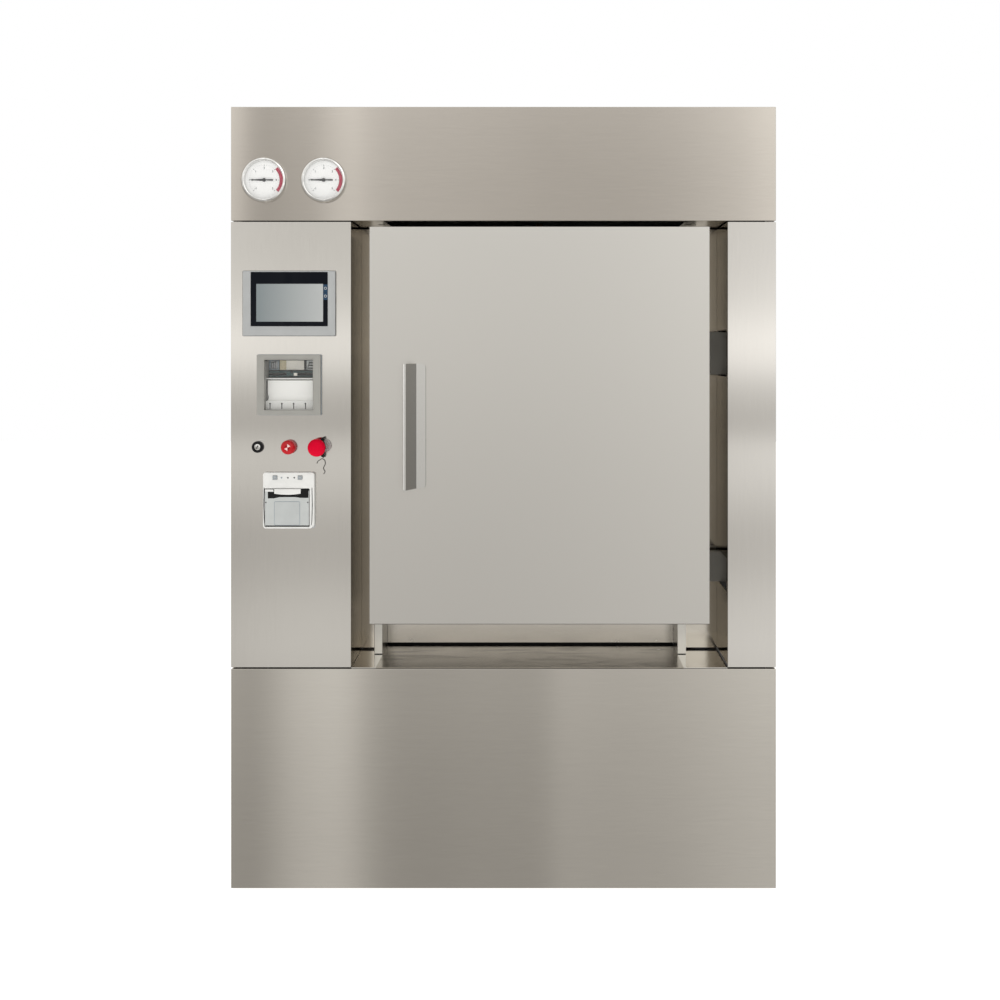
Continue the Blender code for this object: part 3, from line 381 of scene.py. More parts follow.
NODE_FINISHES = {
    HEADER: ["header_panel"],
    LOWER: ["lower_front_panel"],
    LEFT: ["control_fascia"],
    RIGHT: ["right_fascia"],
    SIDES: ["left_side_panel", "right_side_panel", "rear_panel"],
    ROOF: ["top_panel"],
    MIRROR: ["recess_back_panel"],
    POST: ["left_door_post", "right_door_post"],
    LEDGE: ["sill_tray"],
    SKIRT: ["portal_skirt"],
    DOOR: ["door_skin"],
    HANDLE: ["door_handle"],
    MILL: ["door_plate", "chamber_flange", "jacket", "upper_lock_bar", "lower_lock_bar",
           "lock_pinion", "hinge_post", "vessel_cradle", "pump_coupling", "drain_pipe",
           "steam_pipe", "utility_manifold", "loading_rails"],
    CHAMBER: ["chamber"],
    FRAME: ["chassis_frame", "steam_generator"],
    BLUE: ["vacuum_pump", "lock_gearmotor"],
    GREY_BOX: ["electrical_cabinet"],
    HINGE_GREY: ["hinge_yoke"],
    BRASS: ["safety_valve"],
    CHROME: ["chamber_gauge_case", "jacket_gauge_case", "key_switch_rotor"],
    WHITE: ["printer_bezel", "air_filter"],
    BEIGE: ["recorder_door", "recorder_case"],
    GREY: ["hmi_panel", "printer_feed_button", "printer_power_button"],
    PALE: ["printer_door"],
    BLACK: ["switch_plate", "estop_stem", "chamber_gauge_needle", "jacket_gauge_needle"],
    SLATE: ["recorder_carriage"],
    RED: ["stop_button"],
    CRIMSON: ["estop_cap"],
    SILICONE: ["door_gasket"],
    GASKET: [f"levelling_foot_{end}_{side}" for end in ("front", "rear")
             for side in ("left", "right")],
    PAPER: ["paper_roll"],
}


def dress_nodes():
    for finish, names in NODE_FINISHES.items():
        for name in names:
            for held in nodes[name].material_slots:
                held.material = finish.material
    missing = set(nodes) - {name for names in NODE_FINISHES.values() for name in names}
    assert not missing, f"nodes without a finish: {missing}"


def soften(width, *names):
    """Rounds the folded edges of sheet panels, which catch a thin line of light."""
    for name in names:
        weld = nodes[name].modifiers.new("weld", "WELD")
        weld.merge_threshold = 1e-5
        flatten = nodes[name].modifiers.new("flatten", "DECIMATE")
        flatten.decimate_type = "DISSOLVE"
        flatten.angle_limit = math.radians(1)
        bevel = nodes[name].modifiers.new("edges", "BEVEL")
        bevel.width = width
        bevel.segments = 2
        bevel.limit_method = "ANGLE"
        bevel.angle_limit = math.radians(40)
        bevel.harden_normals = True


# ---------------------------------------------------------------- modelling helpers
def keep(mesh, name, finish, body="cabinet"):
    """Makes a named piece of a mesh that is already in place."""
    piece = bpy.data.objects.new(name, mesh)
    mesh.name = name
    bpy.context.scene.collection.objects.link(piece)
    mesh.materials.clear()
    mesh.materials.append(finish.material)
    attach(piece, body)
    return piece


def to_mesh(shape):
    mesh = bpy.data.meshes.new("mesh")
    shape.to_mesh(mesh)
    shape.free()
    return mesh


def smooth(mesh, angle=35):
    mesh.shade_smooth()
    mesh.set_sharp_from_angle(angle=math.radians(angle))


def settled(obj):
    """Mesh of an object with its modifiers applied; the object itself is removed."""
    bpy.context.scene.collection.objects.link(obj)
    bpy.context.view_layer.update()
    evaluated = obj.evaluated_get(bpy.context.evaluated_depsgraph_get())
    mesh = bpy.data.meshes.new_from_object(evaluated)
    bpy.data.objects.remove(obj)
    return mesh


def from_curve(curve, matrix):
    mesh = settled(bpy.data.objects.new("shape", curve))
    shape = bmesh.new()
    shape.from_mesh(mesh)
    bmesh.ops.remove_doubles(shape, verts=shape.verts, dist=1e-7)
    bmesh.ops.recalc_face_normals(shape, faces=shape.faces)
    shape.to_mesh(mesh)
    shape.free()
    mesh.transform(matrix)
    return mesh


def plate(name, loops, front, back, finish, edge=0.0, body="cabinet", turn=None):
    """Flat piece with rounded edges: (x, z) outlines, from depth front back to depth back."""
    curve = bpy.data.curves.new(name, "CURVE")
    curve.dimensions = "2D"
    curve.fill_mode = "BOTH"
    curve.extrude = (back - front) / 2 - edge
    curve.bevel_depth = edge
    curve.bevel_resolution = 2
    curve.offset = -edge
    for loop in loops:
        spline = curve.splines.new("POLY")
        spline.points.add(len(loop) - 1)
        spline.use_cyclic_u = True
        for point, (u, v) in zip(spline.points, loop):
            point.co = (u, v, 0.0, 1.0)
    upright = Matrix.Rotation(math.pi / 2, 4, "X")
    matrix = Matrix.Translation((0, FRONT + (front + back) / 2, 0)) @ upright
    mesh = from_curve(curve, (turn @ matrix) if turn else matrix)
    smooth(mesh, 30)
    return keep(mesh, name, finish, body)


def turned(profile, steps):
    """Mesh of a (radius, depth) profile that is turned round the Y axis."""
    shape = bmesh.new()
    points = [shape.verts.new((radius, depth, 0.0)) for radius, depth in profile]
    edges = [shape.edges.new(pair) for pair in zip(points, points[1:])]
    bmesh.ops.spin(shape, geom=points + edges, cent=(0, 0, 0), axis=(0, 1, 0),
                   angle=2 * math.pi, steps=steps)
    bmesh.ops.remove_doubles(shape, verts=shape.verts, dist=1e-6)
    bmesh.ops.recalc_face_normals(shape, faces=shape.faces)
    return to_mesh(shape)


def lathe(name, profile, centre, finish, steps=64, body="cabinet"):
    """Turned piece, whose depths run back along +Y from centre."""
    mesh = turned(profile, steps)
    mesh.transform(Matrix.Translation(centre))
    smooth(mesh, 30)
    return keep(mesh, name, finish, body)


def wire(name, points, radius, finish):
    """Round wire through points, on a smooth curve."""
    curve = bpy.data.curves.new(name, "CURVE")
    curve.dimensions = "3D"
    curve.bevel_depth = radius
    curve.bevel_resolution = 3
    curve.use_fill_caps = True
    curve.resolution_u = 8
    spline = curve.splines.new("BEZIER")
    spline.bezier_points.add(len(points) - 1)
    for point, co in zip(spline.bezier_points, points):
        point.co = co
        point.handle_left_type = point.handle_right_type = "AUTO"
    mesh = from_curve(curve, Matrix.Identity(4))
    smooth(mesh, 50)
    return keep(mesh, name, finish)


def block(name, x0, x1, front, back, z0, z1, finish, edge=0.0006, radius=None, body="cabinet"):
    """Rounded block between two x, two depths and two heights."""
    radius = max(edge, 0.0004) * 1.5 if radius is None else radius
    loop = rounded(x0, x1, z0, z1, radius)
    return plate(name, [loop], front, back, finish, edge, body)


def shade_gasket(name, low, high, grow, radii, front, finish, back=0.0003):
    """Gasket under an instrument's edge that stands in for the shade line round it; grow: how far
    it shows on the left, right, foot, top.
    """
    left, right, foot, top = grow
    loops = [rounded(low.x - left, high.x + right, low.z - foot, high.z + top, radii[0]),
             rounded(low.x + 0.004, high.x - 0.004, low.z + 0.004, high.z - 0.004, radii[1])]
    plate(name, loops, -front, -back, finish)


def slanted(centre, degrees):
    """Turn about a front-facing axis through centre."""
    turn = Matrix.Rotation(math.radians(degrees), 4, "Y")
    return Matrix.Translation(centre) @ turn @ Matrix.Translation(-centre)


def copies(name, mesh, places, turn, finish, angle):
    """One piece made of copies of a mesh, each turned and then moved to its place."""
    shape = bmesh.new()
    for spot in places:
        copy = mesh.copy()
        copy.transform(Matrix.Translation(spot) @ turn)
        shape.from_mesh(copy)
        bpy.data.meshes.remove(copy)
    made = to_mesh(shape)
    smooth(made, angle)
    return keep(made, name, finish)


def arc(centre, radius, start, end, steps):
    angles = [math.radians(start + (end - start) * i / steps) for i in range(steps + 1)]
    return [(centre[0] + radius * math.cos(a), centre[1] + radius * math.sin(a)) for a in angles]


def rounded(x0, x1, z0, z1, radius, steps=6):
    """Rectangle with rounded corners; radius is one value or four, from top right, leftwards."""
    radii = radius if isinstance(radius, tuple) else (radius,) * 4
    corners = ((x1, z1, -1, -1), (x0, z1, 1, -1), (x0, z0, 1, 1), (x1, z0, -1, 1))
    loop = []
    for i, ((x, z, to_x, to_z), r) in enumerate(zip(corners, radii)):
        loop += arc((x + to_x * r, z + to_z * r), r, 90 * i, 90 * (i + 1), steps)
    return loop


def circle(x, z, radius, steps=48):
    return arc((x, z), radius, 0, 360 - 360 / steps, steps - 1)


def figure(name, text, size, x, depth, z, finish):
    """A number, centred on x and z, as thin raised print."""
    curve = bpy.data.curves.new(name, "FONT")
    curve.body = text
    curve.size = size
    curve.align_x = "CENTER"
    curve.align_y = "CENTER"
    curve.extrude = 0.00006
    curve.offset = 0.00012
    matrix = Matrix.Translation((x, FRONT + depth, z)) @ Matrix.Rotation(math.pi / 2, 4, "X")
    return keep(from_curve(curve, matrix), name, finish)


# ---------------------------------------------------------------- gauges
DIAL_DEPTH = -0.003
FULL_SCALE = ("-1", "0", "1", "2", "3", "4", "5")


def gauge(name, needle_body):
    centre = middle(name + "_case")
    x, z = centre.x, centre.z
    here = Vector((x, FRONT, z))
    bezel = [(0.0462, -0.0034), (0.0462, -0.0125), (0.0468, -0.0137), (0.0482, -0.0141),
             (0.0515, -0.0132), (0.0536, -0.0105), (0.0541, -0.007), (0.0541, -0.0006),
             (0.053, -0.0003), (0.0462, -0.0034)]
    lathe(name + "_bezel", bezel, here, CHROME, 96)
    card = [(0.0, -0.0034), (0.0455, -0.0034), (0.0459, -0.0031), (0.0459, -0.0029), (0, -0.0029)]
    lathe(name + "_dial", card, here, DIAL, 64)
    print_depth = DIAL_DEPTH - 0.0006
    sector = arc((x, z), 0.0445, -40, 44, 24) + arc((x, z), 0.0368, 44, -40, 24)
    plate(name + "_red_sector", [sector], print_depth, print_depth + 0.0001, RED_INK)
    for i, value in enumerate(FULL_SCALE):
        angle = 225 - 45 * i
        a = math.radians(angle)
        figure(f"{name}_figure_{i}", value, 0.0068, x + 0.0285 * math.cos(a), print_depth,
               z + 0.0285 * math.sin(a), INK)
    ticks = []
    for i in range(31):
        a = 225 - 270 * i / 30
        inner, half = (0.0335, 0.9) if i % 5 == 0 else (0.0352, 0.45)
        ticks.append(arc((x, z), 0.0366, a - half, a + half, 1)
                     + arc((x, z), inner, a + half, a - half, 1))
    plate(name + "_ticks", ticks, print_depth, print_depth + 0.0001, INK)
    tail = [(x + 0.0035, z - 0.0012), (x + 0.0215, z - 0.0019), (x + 0.0215, z + 0.0019),
            (x + 0.0035, z + 0.0012)]
    plate(name + "_needle_tail", [tail], -0.0061, -0.0051, DARK, body=needle_body)
    cap = [(0, -0.0086), (0.0028, -0.0084), (0.004, -0.0076), (0.0042, -0.0064), (0, -0.0064)]
    lathe(name + "_needle_hub", cap, here, DARK, 32, body=needle_body)
    lens = [(0, -0.0112), (0.046, -0.0108), (0.046, -0.0098), (0, -0.0102)]
    lathe(name + "_glass", lens, here, GLASS, 64)


# ---------------------------------------------------------------- touch screen
def touch_screen():
    low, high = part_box("hmi_panel")
    x, z, front = (low.x + high.x) / 2, (low.z + high.z) / 2, low.y - FRONT
    # Dark gasket: painted shade line round the touch screen.
    shade_gasket("hmi_shade_gasket", low, high, (0.0022, 0.0008, 0.001, 0.0012), (0.003, 0.002), 0.0016, GASKET)
    rim = [rounded(low.x, high.x, low.z, high.z, 0.0035),
           rounded(x - 0.0912, x + 0.0925, z - 0.0546, z + 0.0748, 0.0015)]
    plate("hmi_rim", rim, front - 0.0012, front + 0.0015, GREY, 0.0005)
    glass = rounded(x - 0.0908, x + 0.0921, z - 0.0542, z + 0.0744, 0.0015)
    plate("hmi_glass", [glass], front - 0.0008, front + 0.0004, BLACK_GLASS, 0.0002)
    film = rounded(x - 0.0776, x + 0.0812, z - 0.0436, z + 0.0462, 0.0006)
    plate("hmi_display", [film], front - 0.001, front - 0.0006, SCREEN)
    for i, low_z in enumerate((0.0268, 0.0082)):
        tile = rounded(x + 0.0818, x + 0.092, z + low_z, z + low_z + 0.018, 0.0008)
        plate(f"hmi_key_{i + 1}", [tile], front - 0.0011, front - 0.0006, KEY_BLUE)
        mark = [circle(x + 0.0869, z + low_z + 0.009, 0.0034, 24),
                circle(x + 0.0869, z + low_z + 0.009, 0.002, 24)]
        plate(f"hmi_key_mark_{i + 1}", mark, front - 0.0012, front - 0.0008, GREY)


# ---------------------------------------------------------------- chart recorder
def folded_sheet(name, path, x0, x1, thickness, finish):
    """Sheet bent along a (depth, z) path and as wide as from x0 to x1."""
    shape = bmesh.new()
    rows = []
    for i, (depth, z) in enumerate(path):
        before, after = path[max(i - 1, 0)], path[min(i + 1, len(path) - 1)]
        along = Vector((after[0] - before[0], after[1] - before[1])).normalized()
        back = Vector((-along.y, along.x)) * thickness
        points = ((x0, depth, z), (x1, depth, z))
        points += ((x1, depth + back.x, z + back.y), (x0, depth + back.x, z + back.y))
        rows.append([shape.verts.new((px, FRONT + pd, pz)) for px, pd, pz in points])
    for first, second in zip(rows, rows[1:]):
        for j in range(4):
            k = (j + 1) % 4
            shape.faces.new((first[j], first[k], second[k], second[j]))
    shape.faces.new(rows[0][::-1])
    shape.faces.new(rows[-1])
    bmesh.ops.recalc_face_normals(shape, faces=shape.faces)
    mesh = to_mesh(shape)
    smooth(mesh, 40)
    return keep(mesh, name, finish)


def recorder():
    low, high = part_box("recorder_door")
    x, z, front = (low.x + high.x) / 2, (low.z + high.z) / 2, low.y - FRONT
    # Grey gasket: painted shade line round the recorder.
    shade_gasket("recorder_shade_gasket", low, high, (0.001,) * 4, (0.002, 0.001), 0.002, SLATE)
    bead = [rounded(x - 0.06, x + 0.06, z - 0.062, z + 0.062, 0.0012),
            rounded(x - 0.0578, x + 0.0578, z - 0.0598, z + 0.0598, 0.0008)]
    plate("recorder_window_bead", bead, front - 0.0005, front + 0.003, BEIGE, 0.0004,
          body="recorder_front")
    pane = rounded(x - 0.0582, x + 0.0582, z - 0.0602, z + 0.0602, 0.0008)
    plate("recorder_window", [pane], front + 0.004, front + 0.0055, WINDOW, body="recorder_front")

    def part(name, x0, x1, d0, d1, z0, z1, finish, body="cabinet"):
        block("recorder_" + name, x + x0, x + x1, d0, d1, z + z0, z + z1, finish, 0.0005,
              body=body)

    part("amplifier", -0.0575, -0.0335, 0.04, 0.0585, 0.035, 0.059, SLATE)
    part("amplifier_lid", -0.053, -0.037, 0.0385, 0.0402, 0.0375, 0.056, GREY)
    for i in range(3):
        part(f"amplifier_rib_{i + 1}", -0.0515 + 0.005 * i, -0.0505 + 0.005 * i, 0.038, 0.0386,
             0.039, 0.052 + 0.0012 * i, DARK)
    part("scale_plate", -0.0315, 0.027, 0.04, 0.043, 0.035, 0.059, CREAM)
    # The left part of the scale plate is darker.
    part("scale_plate_shade", -0.0315, -0.016, 0.0385, 0.0402, 0.035, 0.059, DARKER_CREAM)
    part("motor", 0.033, 0.0575, 0.04, 0.0585, 0.035, 0.059, PALE)
    part("motor_side", 0.0272, 0.0328, 0.04, 0.0585, 0.035, 0.059, DARK)
    for i in range(3):
        part(f"motor_fin_{i + 1}", 0.0355 + 0.002 * i, 0.0565, 0.0388, 0.0402, 0.0385 + 0.0065 * i,
             0.0397 + 0.0065 * i, DARK)
    for i, (low_z, finish) in enumerate(((0.0285, TEAL), (0.0225, DARK), (0.018, TEAL))):
        part(f"rail_{i + 1}", -0.058, 0.058, 0.038 + 0.001 * i, 0.0445, low_z, low_z + 0.0036,
             finish)
    part("scale_bar", -0.058, 0.058, 0.012, 0.018, 0.0128, 0.0158, WHITE)
    for i in range(20):
        mark = -0.055 + 0.11 * i / 19
        part(f"scale_mark_{i + 1}", mark - 0.0011, mark + 0.0011, 0.0117, 0.0125, 0.0105, 0.0122,
             DARK)
    paper_path = [(0.0128, 0.01), (0.0126, -0.015), (0.0122, -0.027), (0.011, -0.033),
                  (0.0086, -0.037), (0.0068, -0.0385)]
    shifted = [(d, z + dz) for d, dz in paper_path]
    folded_sheet("recorder_chart", shifted, x - 0.0545, x + 0.0575, 0.0003, CHART)
    edge = [(x - 0.056, FRONT + 0.0122, z + 0.0095), (x - 0.0562, FRONT + 0.012, z - 0.01),
            (x - 0.0552, FRONT + 0.0116, z - 0.023), (x - 0.053, FRONT + 0.0104, z - 0.03),
            (x - 0.0542, FRONT + 0.0078, z - 0.0365)]
    wire("recorder_chart_edge", edge, 0.0008, INK)
    part("top_shade", -0.0582, 0.0582, 0.004, 0.012, 0.0585, 0.0599, DARK)
    part("table", -0.058, 0.058, 0.0055, 0.0136, -0.0602, -0.0388, WHITE)
    for i in range(4):
        mark = -0.0479 + 0.0282 * i
        part(f"table_clip_{i + 1}", mark - 0.0009, mark + 0.0009, 0.0046, 0.006, -0.058,
             -0.044, BLACK)
        part(f"table_clip_head_{i + 1}", mark - 0.0018, mark + 0.0018, 0.0042, 0.006, -0.0466,
             -0.0436, BLACK)
    pen = middle("recorder_carriage")
    low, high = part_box("recorder_carriage")
    depth = high.y - FRONT
    slider = block("recorder_slider", low.x + 0.001, high.x - 0.001, depth - 0.007,
                   depth - 0.0002, pen.z - 0.0125, pen.z - 0.0025, TEAL, 0.0004,
                   body="pen_carriage")
    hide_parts("recorder_carriage")
    block("recorder_slider_knob", pen.x - 0.003, pen.x + 0.003, depth - 0.01, depth - 0.0071,
          pen.z - 0.006, pen.z + 0.001, DARK, 0.0006, 0.002, body="pen_carriage")
    block("recorder_pen", pen.x + 0.0045, pen.x + 0.0128, depth - 0.009, depth - 0.0071,
          pen.z - 0.012, pen.z - 0.005, CREAM, 0.0003, body="pen_carriage")


# ---------------------------------------------------------------- switches
def key_switch():
    centre = middle("key_switch_rotor")
    here = Vector((centre.x, FRONT, centre.z))
    ring = [(0.0084, -0.0065), (0.0088, -0.0088), (0.0104, -0.0098), (0.0124, -0.009),
            (0.0138, -0.0062), (0.014, -0.0006), (0.0126, -0.0004), (0.0084, -0.0065)]
    lathe("key_switch_ring", ring, here, BLACK_GLOSS, 48)
    core = [(0, -0.0086), (0.0062, -0.0086), (0.0073, -0.008), (0.0075, -0.007), (0, -0.007)]
    lathe("key_switch_core", core, here, HANDLE, 40, body="key_rotor")
    # Black sheet for the keyhole: painted shade inside the slot.
    slot = rounded(here.x - 0.0012, here.x + 0.0012, here.z - 0.0042, here.z + 0.0042, 0.0006)
    plate("key_switch_slot_shade", [slot], -0.0089, -0.0084, BLACK, body="key_rotor",
          turn=slanted(here, 24))
    loop = [(0.004, 0.015), (0.0095, 0.0168), (0.015, 0.016), (0.0158, 0.0128)]
    points = [(here.x + dx, FRONT - 0.0012, here.z + dz) for dx, dz in loop]
    wire("key_switch_tag_wire", points, 0.0006, CHROME)


def stop_button():
    centre = middle("stop_button")
    here = Vector((centre.x, FRONT, centre.z))
    dome = [(0, -0.0226), (0.005, -0.0224), (0.0098, -0.0217), (0.0135, -0.0203),
            (0.0158, -0.0182), (0.0171, -0.015), (0.017, -0.0118), (0.015, -0.0104), (0, -0.0104)]
    lathe("stop_button_cap", dome, here, RED, 56, body="stop_plunger")
    turn = slanted(here, 28)
    for i, side in enumerate((1, -1)):
        z = here.z
        arrow = [(here.x, z), (here.x + 0.0052 * side, z + 0.006 * side),
                 (here.x - 0.004 * side, z + 0.0072 * side)]
        arrow = arrow if side > 0 else arrow[::-1]
        plate(f"stop_button_arrow_{i + 1}", [arrow], -0.0233, -0.0222, PINK, turn=turn,
              body="stop_plunger")
        dot = circle(here.x + 0.004 * side, z - 0.0012 * side, 0.0014, 20)
        plate(f"stop_button_dot_{i + 1}", [dot], -0.0233, -0.0222, BLACK, turn=turn,
              body="stop_plunger")
    ring = [(0.0156, -0.0038), (0.0165, -0.0035), (0.0169, -0.0024), (0.0169, -0.0004),
            (0.0156, -0.0004), (0.0156, -0.0038)]
    lathe("stop_button_ring", ring, here, RED, 48)


def mushroom():
    """Large button: smooth cap, black yoke behind it and a clear flap on the yoke."""
    centre = middle("estop_cap")
    here = Vector((centre.x, FRONT, centre.z))
    dome = [(0, -0.0406), (0.006, -0.0405), (0.012, -0.0399), (0.0165, -0.0385), (0.0195, -0.036),
            (0.0209, -0.0325), (0.0211, -0.03), (0.02, -0.0272), (0.015, -0.0258), (0, -0.0258)]
    lathe("estop_cap_dome", dome, here, CRIMSON, 64, body="estop_head")
    x, z = here.x, here.z
    ear = [(0.005, 0.0145), (0.012, 0.0105), (0.0158, 0.0185), (0.0138, 0.025), (0.0085, 0.0218)]
    upper = [(x + dx, z + dz) for dx, dz in ear]
    lower = [(x + dx, z - dz) for dx, dz in reversed(ear)]
    plate("estop_yoke", [upper, lower], -0.017, -0.006, BLACK, 0.0004)
    ring = [(0.0135, -0.0004), (0.016, -0.0078), (0.0176, -0.007), (0.0182, -0.0004),
            (0.0135, -0.0004)]
    lathe("estop_collar", ring, here, DARK, 48)

    lobe, reach, lean, hug = 0.016, 0.015, 14, 0.0172
    foot = (reach**2 + hug**2 - lobe**2) / (2 * reach)
    open_hug = math.degrees(math.acos(foot / hug))
    open_lobe = math.degrees(math.atan2(math.sqrt(hug**2 - foot**2), foot - reach))
    a = math.radians(lean)
    away = (x + reach * math.cos(a), z + reach * math.sin(a))
    flap = arc(away, lobe, lean - open_lobe, lean + open_lobe, 32)
    flap += arc((x, z), hug, lean + open_hug, lean - open_hug, 16)
    plate("estop_clear_flap", [flap], -0.0056, -0.0036, GUARD, 0.0005)

    hook = [(0.0007, -0.04), (0.003, -0.035), (0.0069, -0.0322), (0.0128, -0.029),
            (0.018, -0.0312), (0.0205, -0.0375), (0.0195, -0.044), (0.0166, -0.0495),
            (0.017, -0.054), (0.0198, -0.0585), (0.019, -0.062), (0.0165, -0.065)]
    points = [(x + dx - 0.005, FRONT - 0.0012, z + dz + 0.0005) for dx, dz in hook]
    wire("estop_seal_wire", points, 0.0009, SEAL_WIRE)


# ---------------------------------------------------------------- printer
def printer():
    low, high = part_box("printer_bezel")
    x, z, front = (low.x + high.x) / 2, (low.z + high.z) / 2, low.y - FRONT
    mouth = (x - 0.056, x + 0.051, z - 0.062, z + 0.029)
    well = (x - 0.05, x + 0.049, z - 0.05, z + 0.029)
    key_bodies = {"printer_power_button": "printer_power_key",
                  "printer_feed_button": "printer_feed_key"}
    pockets = []
    for name in key_bodies:
        k_low, k_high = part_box(name)
        gap = 0.0005
        pockets.append(rounded(k_low.x - gap, k_high.x + gap, k_low.z - gap, k_high.z + gap,
                               0.0008))
    outline = rounded(low.x + 0.0025, high.x, low.z + 0.0012, high.z, (0.006, 0.005, 0.006, 0.012))
    surround = plate("printer_surround", [outline, rounded(*mouth, 0.002), *pockets], front,
                     -0.0003, WHITE, 0.0009)
    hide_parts("printer_bezel")
    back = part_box("printer_bezel")[1].y - FRONT
    tub = rounded(low.x + 0.0085, high.x - 0.0085, low.z + 0.0095, high.z - 0.0095, 0.002)
    hole = rounded(*well, 0.001)
    plate("printer_tub", [tub, hole], -0.003, back - 0.003, PALE)
    plate("printer_tub_back", [tub], back - 0.003, back, PALE)
    plate("printer_mouth_floor", [rounded(*mouth, 0.001), hole], -0.0032, -0.0029, DARK)
    # Grey gasket: painted shade line round the printer.
    shade_gasket("printer_shade_gasket", low, high, (-0.0017, 0.0003, -0.0004, 0.0005), (0.006, 0.004), 0.0012,
         GREY, 0.0002)
    for i, finish in enumerate((SLATE, DARK, BLACK)):
        lamp = circle(x - 0.0155 + 0.0151 * i, z + 0.0548, 0.0018, 24)
        plate(f"printer_lamp_{i + 1}", [lamp], front - 0.0006, front + 0.0004, finish, 0.0002)
    for name, body in key_bodies.items():
        key, key_front = middle(name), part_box(name)[0].y - FRONT
        ring = [rounded(key.x - 0.004, key.x + 0.004, key.z - 0.0035, key.z + 0.0035, 0.001),
                rounded(key.x - 0.0028, key.x + 0.0028, key.z - 0.0023, key.z + 0.0023, 0.0006)]
        plate(name + "_mark", ring, key_front - 0.0004, key_front + 0.0001, SLATE, body=body)
    printer_door_details(x, z)
    groove = [(0.056, 0.031), (0.0575, 0.031), (0.0585, -0.01), (0.0572, -0.048), (0.0555, -0.058),
              (0.0545, -0.058), (0.0558, -0.048), (0.0568, -0.01)]
    for side, share in (("right", 1), ("left", -1)):
        line = [(x + share * dx, z + dz) for dx, dz in groove][::share]
        plate(f"printer_{side}_groove", [line], front - 0.0003, front + 0.0002, BLACK)
    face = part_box("printer_door")[0].y - FRONT
    for i, px in enumerate((-0.0525, 0.047)):
        pivot = circle(x + px, z - 0.0038, 0.0015, 20)
        plate(f"printer_pivot_{i + 1}", [pivot], face - 0.0005, face + 0.0002, BLACK,
              body="printer_front")


def printer_door_details(x, z):
    """Window, paper slot and small parts on the tilting door; x and z: the printer's middle."""
    low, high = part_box("printer_door")
    face = low.y - FRONT

    def on_door(name, loops, out, finish, edge=0.0, inwards=0.0002):
        plate("printer_" + name, loops, face - out, face + inwards, finish, edge,
              body="printer_front")

    x0, x1, top = x - 0.033, x + 0.0284, z - 0.0014
    frame_loops = [rounded(x0, x1, low.z + 0.0006, top, 0.003),
                   rounded(x0 + 0.0009, x1 - 0.0009, low.z + 0.0015, top - 0.0009, 0.0022)]
    on_door("window_line", frame_loops, 0.0003, SLATE)
    inner = rounded(x0 + 0.001, x1 - 0.001, low.z + 0.0016, top - 0.001, 0.0022)
    on_door("window", [inner], 0.0007, WINDOW_GREY, 0.0003)
    top = z + 0.0284
    # Black sheet for the paper slot's opening: painted shade inside the slot.
    slot = [(x - 0.0478, z + 0.0058), (x - 0.034, z + 0.0058), (x - 0.02, z + 0.009),
            (x + 0.018, z + 0.009), (x + 0.0304, z + 0.0071), (x + 0.0485, z + 0.0071),
            (x + 0.0485, top), (x + 0.0305, top), (x + 0.03, z + 0.021), (x - 0.033, z + 0.021),
            (x - 0.0478, z + 0.0218)]
    on_door("paper_slot_shade", [slot], 0.0004, BLACK)
    sag = arc((x - 0.0012, z + 0.2146), 0.2, 270 - 9, 270 + 9, 12)
    on_door("tongue", [[*sag, (x + 0.0303, top), (x - 0.0327, top)]], 0.0016, WHITE, 0.0004,
            -0.0002)
    shoulder = rounded(x - 0.0545, x - 0.0335, z + 0.0219, top - 0.0002, 0.0003)
    on_door("shoulder", [shoulder], 0.0002, WHITE, inwards=0.001)
    step = [(x - 0.0545, top - 0.0003), (x - 0.0545, top - 0.0012), (x - 0.0345, top - 0.0012),
            (x - 0.0345, z + 0.0212), (x - 0.0334, z + 0.0212), (x - 0.0334, top - 0.0003)]
    on_door("step_line", [step], 0.0006, DARK, inwards=-0.0001)


# ---------------------------------------------------------------- sides, roof and back
def heads(name, places, outwards):
    """Button-head screws with a socket, as one piece."""
    radius, height = 0.0055, 0.0026
    profile = [(0.0, 0.45), (0.42, 0.45), (0.42, 0.98), (0.62, 1.0), (0.9, 0.62), (1.0, 0.0)]
    head = turned([(radius * r, height * h) for r, h in profile], 18)
    turn = Vector(outwards).to_track_quat("Z", "Y").to_matrix().to_4x4()
    copies(name, head, places, turn @ Matrix.Rotation(math.pi / 2, 4, "X"), CHROME, 40)


def louvres(name, places, along, outwards, size):
    """Pressed louvre hoods, as one piece; size is length, height and how far they stand out."""
    length, height, stand = size
    up, outwards = Vector((0, 0, 1)), Vector(outwards)
    basis = Matrix((Vector(along), up, outwards)).transposed().to_4x4()
    fit = Matrix.Diagonal((length / 2, height, stand, 1.0))
    shape = bmesh.new()
    bmesh.ops.create_uvsphere(shape, u_segments=24, v_segments=12, radius=1.0, matrix=basis @ fit)
    for normal in (-outwards, -up):
        geom = shape.verts[:] + shape.edges[:] + shape.faces[:]
        bmesh.ops.bisect_plane(shape, geom=geom, plane_co=(0, 0, 0), plane_no=normal,
                               clear_outer=True)
    hood = bpy.data.objects.new("hood", to_mesh(shape))
    hood.modifiers.new("sheet", "SOLIDIFY").thickness = 0.001
    copies(name, settled(hood), places, Matrix.Identity(4), SIDES, 60)


def spread(low, high, count):
    return [low + (high - low) * i / (count - 1) for i in range(count)]


def border(low_a, high_a, low_b, high_b, rows, columns):
    """Places round the edge of a panel, as pairs."""
    places = [(a, b) for a in (low_a, high_a) for b in spread(low_b, high_b, rows)]
    return places + [(a, b) for a in spread(low_a, high_a, columns)[1:-1] for b in (low_b, high_b)]


